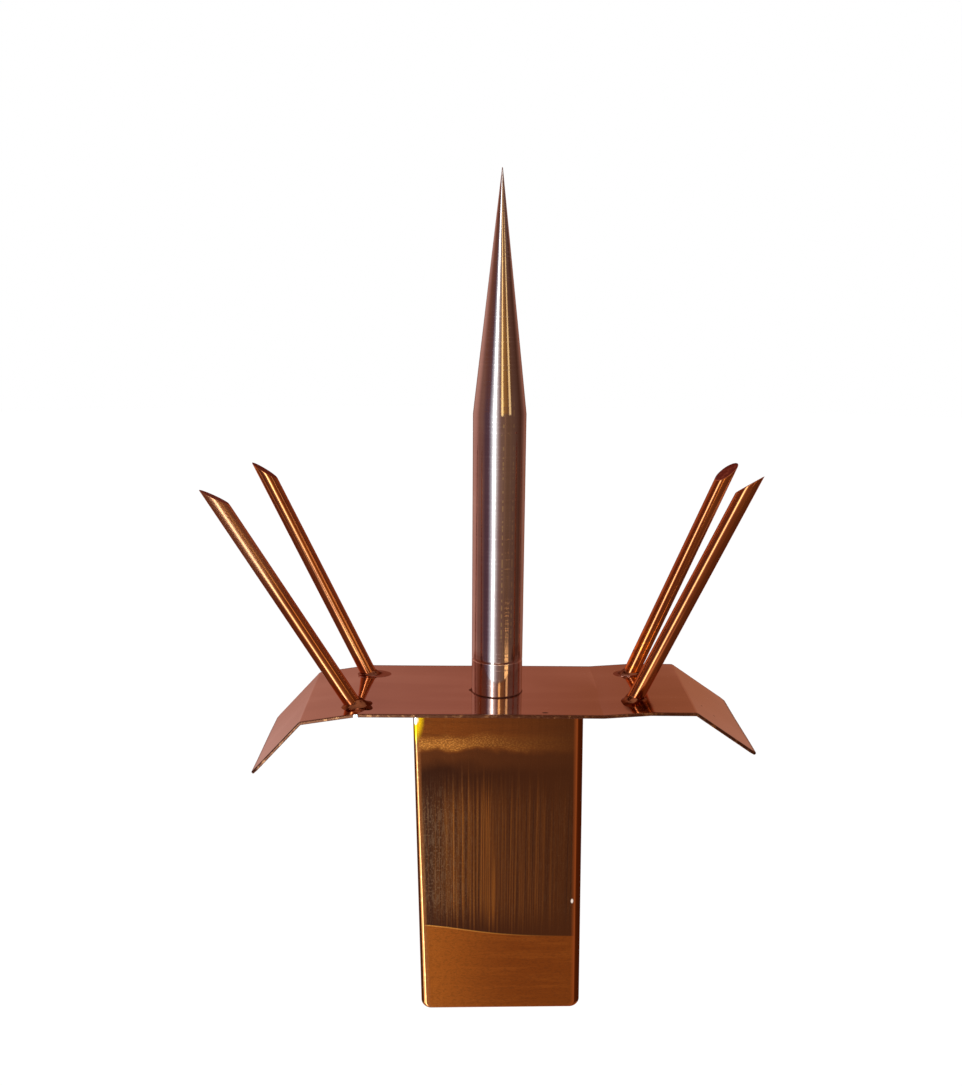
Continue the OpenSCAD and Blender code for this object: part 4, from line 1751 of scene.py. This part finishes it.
REAR_ROD = ("rod_rear_left", 0.3, (-0.0925, 0.025, 0.144), (-0.44, 0.0, 0.9))
BAR_LEFT = ("mounting_bar", 0.3, (-0.043, -0.003, 0.0))
LIGHTS = (
    StripLight("warm_strip", 10, 15.5, 8, 19, 2.0, (0.92, 1.0, 0.5)),
    StripLight("warm_line", 44.5, 14.5, 9, 15, 1.5, (0.9, 1.0, 0.55)),
    StripLight("low_lamp", 42, -18.7, 16, 2.6, 3.0, (1.0, 0.8, 0.35)),
    StripLight("bar_edge", -32, -26, 34, 60, 5.0, (0.55, 0.8, 1.0), *BAR_LEFT),
    StripLight("rear_line", 3, 2, 4.5, 60, 9.0, (0.34, 0.66, 1.0), *REAR_ROD),
    StripLight("rear_glow", 12, 6, 9, 60, 1.2, (0.6, 1.0, 0.9), *REAR_ROD),
    StripLight("rear_edge", 57, 20, 4, 60, 1.9, (0.75, 1.0, 0.95), *REAR_ROD),
)


@dataclass
class Studio:
    """Pale floor, white surround, strip lights and the walls of a dim room.

    Attributes:
        floor_drop: how far the floor lies below the part.
        floor_radius, floor_sides: radius of the floor and the number of its sides.
        fill: level of the surround's light on dull surfaces.
        floor_colour: the floor's own pale colour.
        floor_white: share of the floor's white that needs no light, so that its shadow stays soft.
    """

    floor_drop: float = 0.9
    floor_radius: float = 14.0
    floor_sides: int = 64
    fill: float = 0.8
    floor_colour: Colour = (0.4, 0.4, 0.4, 1.0)
    floor_white: float = 0.71

    @staticmethod
    def sees(bench: Bench) -> Socket:
        """1 for what the camera sees, by itself or in a mirror or glass."""
        path = bench.add("ShaderNodeLightPath").outputs
        seen = bench.math("MAXIMUM", path["Is Camera Ray"], path["Is Glossy Ray"])
        return bench.math("MAXIMUM", seen, path["Is Transmission Ray"])

    def surround(self) -> None:
        """White world for what is seen, and an even fill for the rest."""
        world = bpy.data.worlds.new("surround")
        bench = Bench(cleared(world))
        fill = bench.add("ShaderNodeBackground", {"Color": WHITE, "Strength": self.fill})
        white = bench.add("ShaderNodeBackground", {"Color": WHITE, "Strength": 1.0})
        shaders = {0: self.sees(bench), 1: fill.outputs[0], 2: white.outputs[0]}
        both = bench.add("ShaderNodeMixShader", shaders)
        bench.add("ShaderNodeOutputWorld", {"Surface": both.outputs[0]})
        bpy.context.scene.world = world

    def floor(self) -> None:
        """Round floor well below the part: its lit colour plus a white that is seen but lights nothing."""
        angle = around(self.floor_sides)
        low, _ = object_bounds()
        ring = self.floor_radius * np.stack([np.cos(angle), np.sin(angle)], -1)
        points = np.concatenate([ring, np.full((self.floor_sides, 1), low[2] - self.floor_drop)], 1)
        mesh = bpy.data.meshes.new("floor")
        mesh.from_pydata(points.tolist(), [], [list(range(self.floor_sides))])
        material = bpy.data.materials.new("floor")
        bench = Bench(cleared(material))
        matt = bench.add("ShaderNodeBsdfDiffuse", {"Color": self.floor_colour})
        glow = bench.times(self.sees(bench), self.floor_white)
        white = bench.add("ShaderNodeEmission", {"Color": WHITE, "Strength": glow})
        both = bench.add("ShaderNodeAddShader", {0: matt.outputs[0], 1: white.outputs[0]})
        bench.add("ShaderNodeOutputMaterial", {"Surface": both.outputs[0]})
        mesh.materials.append(material)
        floor = add_object("floor", mesh)
        floor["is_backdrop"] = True

    def build(self) -> None:
        """Adds the surround, the floor, the walls and the lamps."""
        self.surround()
        self.floor()
        for thing in (*WINDOWS, *ROOM, *LIGHTS):
            thing.place()
        bpy.context.scene.view_settings.view_transform = "Standard"


@dataclass(frozen=True)
class PhotoCamera:
    """Camera at the photograph's place.

    Attributes:
        place: where it stands.
        yaw, pitch, roll: its angles in degrees: to the right, down and clockwise.
        focal: focal length in pixels of the photograph.
        middle_row: row of the photograph that the lens looks straight at.
        sensor: length of the sensor's long side, in millimetres.
    """

    place: Triple = (-9.82 * MM, -575.84 * MM, 278.95 * MM)
    yaw: float = 0.197
    pitch: float = 17.698
    roll: float = -0.4
    focal: float = 1207.857
    middle_row: float = 680.0
    sensor: float = 36.0

    def build(self) -> None:
        """Adds the camera and makes it the scene's."""
        data = bpy.data.cameras.new("photo_camera")
        data.sensor_fit = "AUTO"
        data.sensor_width = self.sensor
        data.lens = self.focal / PHOTO_HEIGHT * self.sensor
        data.shift_y = (self.middle_row - PHOTO_HEIGHT / 2) / PHOTO_HEIGHT
        camera = add_object("photo_camera", data)
        turn = turn_about("Z", -self.yaw) @ turn_about("X", 90 - self.pitch) @ turn_about("Z", -self.roll)
        camera.matrix_world = Matrix.Translation(self.place) @ Matrix(turn).to_4x4()
        bpy.context.scene.camera = camera


def main() -> None:
    """Builds the camera, the part and the studio in order."""
    logging.basicConfig(level=logging.INFO, format="%(name)s: %(message)s")
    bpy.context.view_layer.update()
    PhotoCamera().build()
    LightningRod().build(Groups())
    Studio().build()


if __name__ == "__main__":
    main()
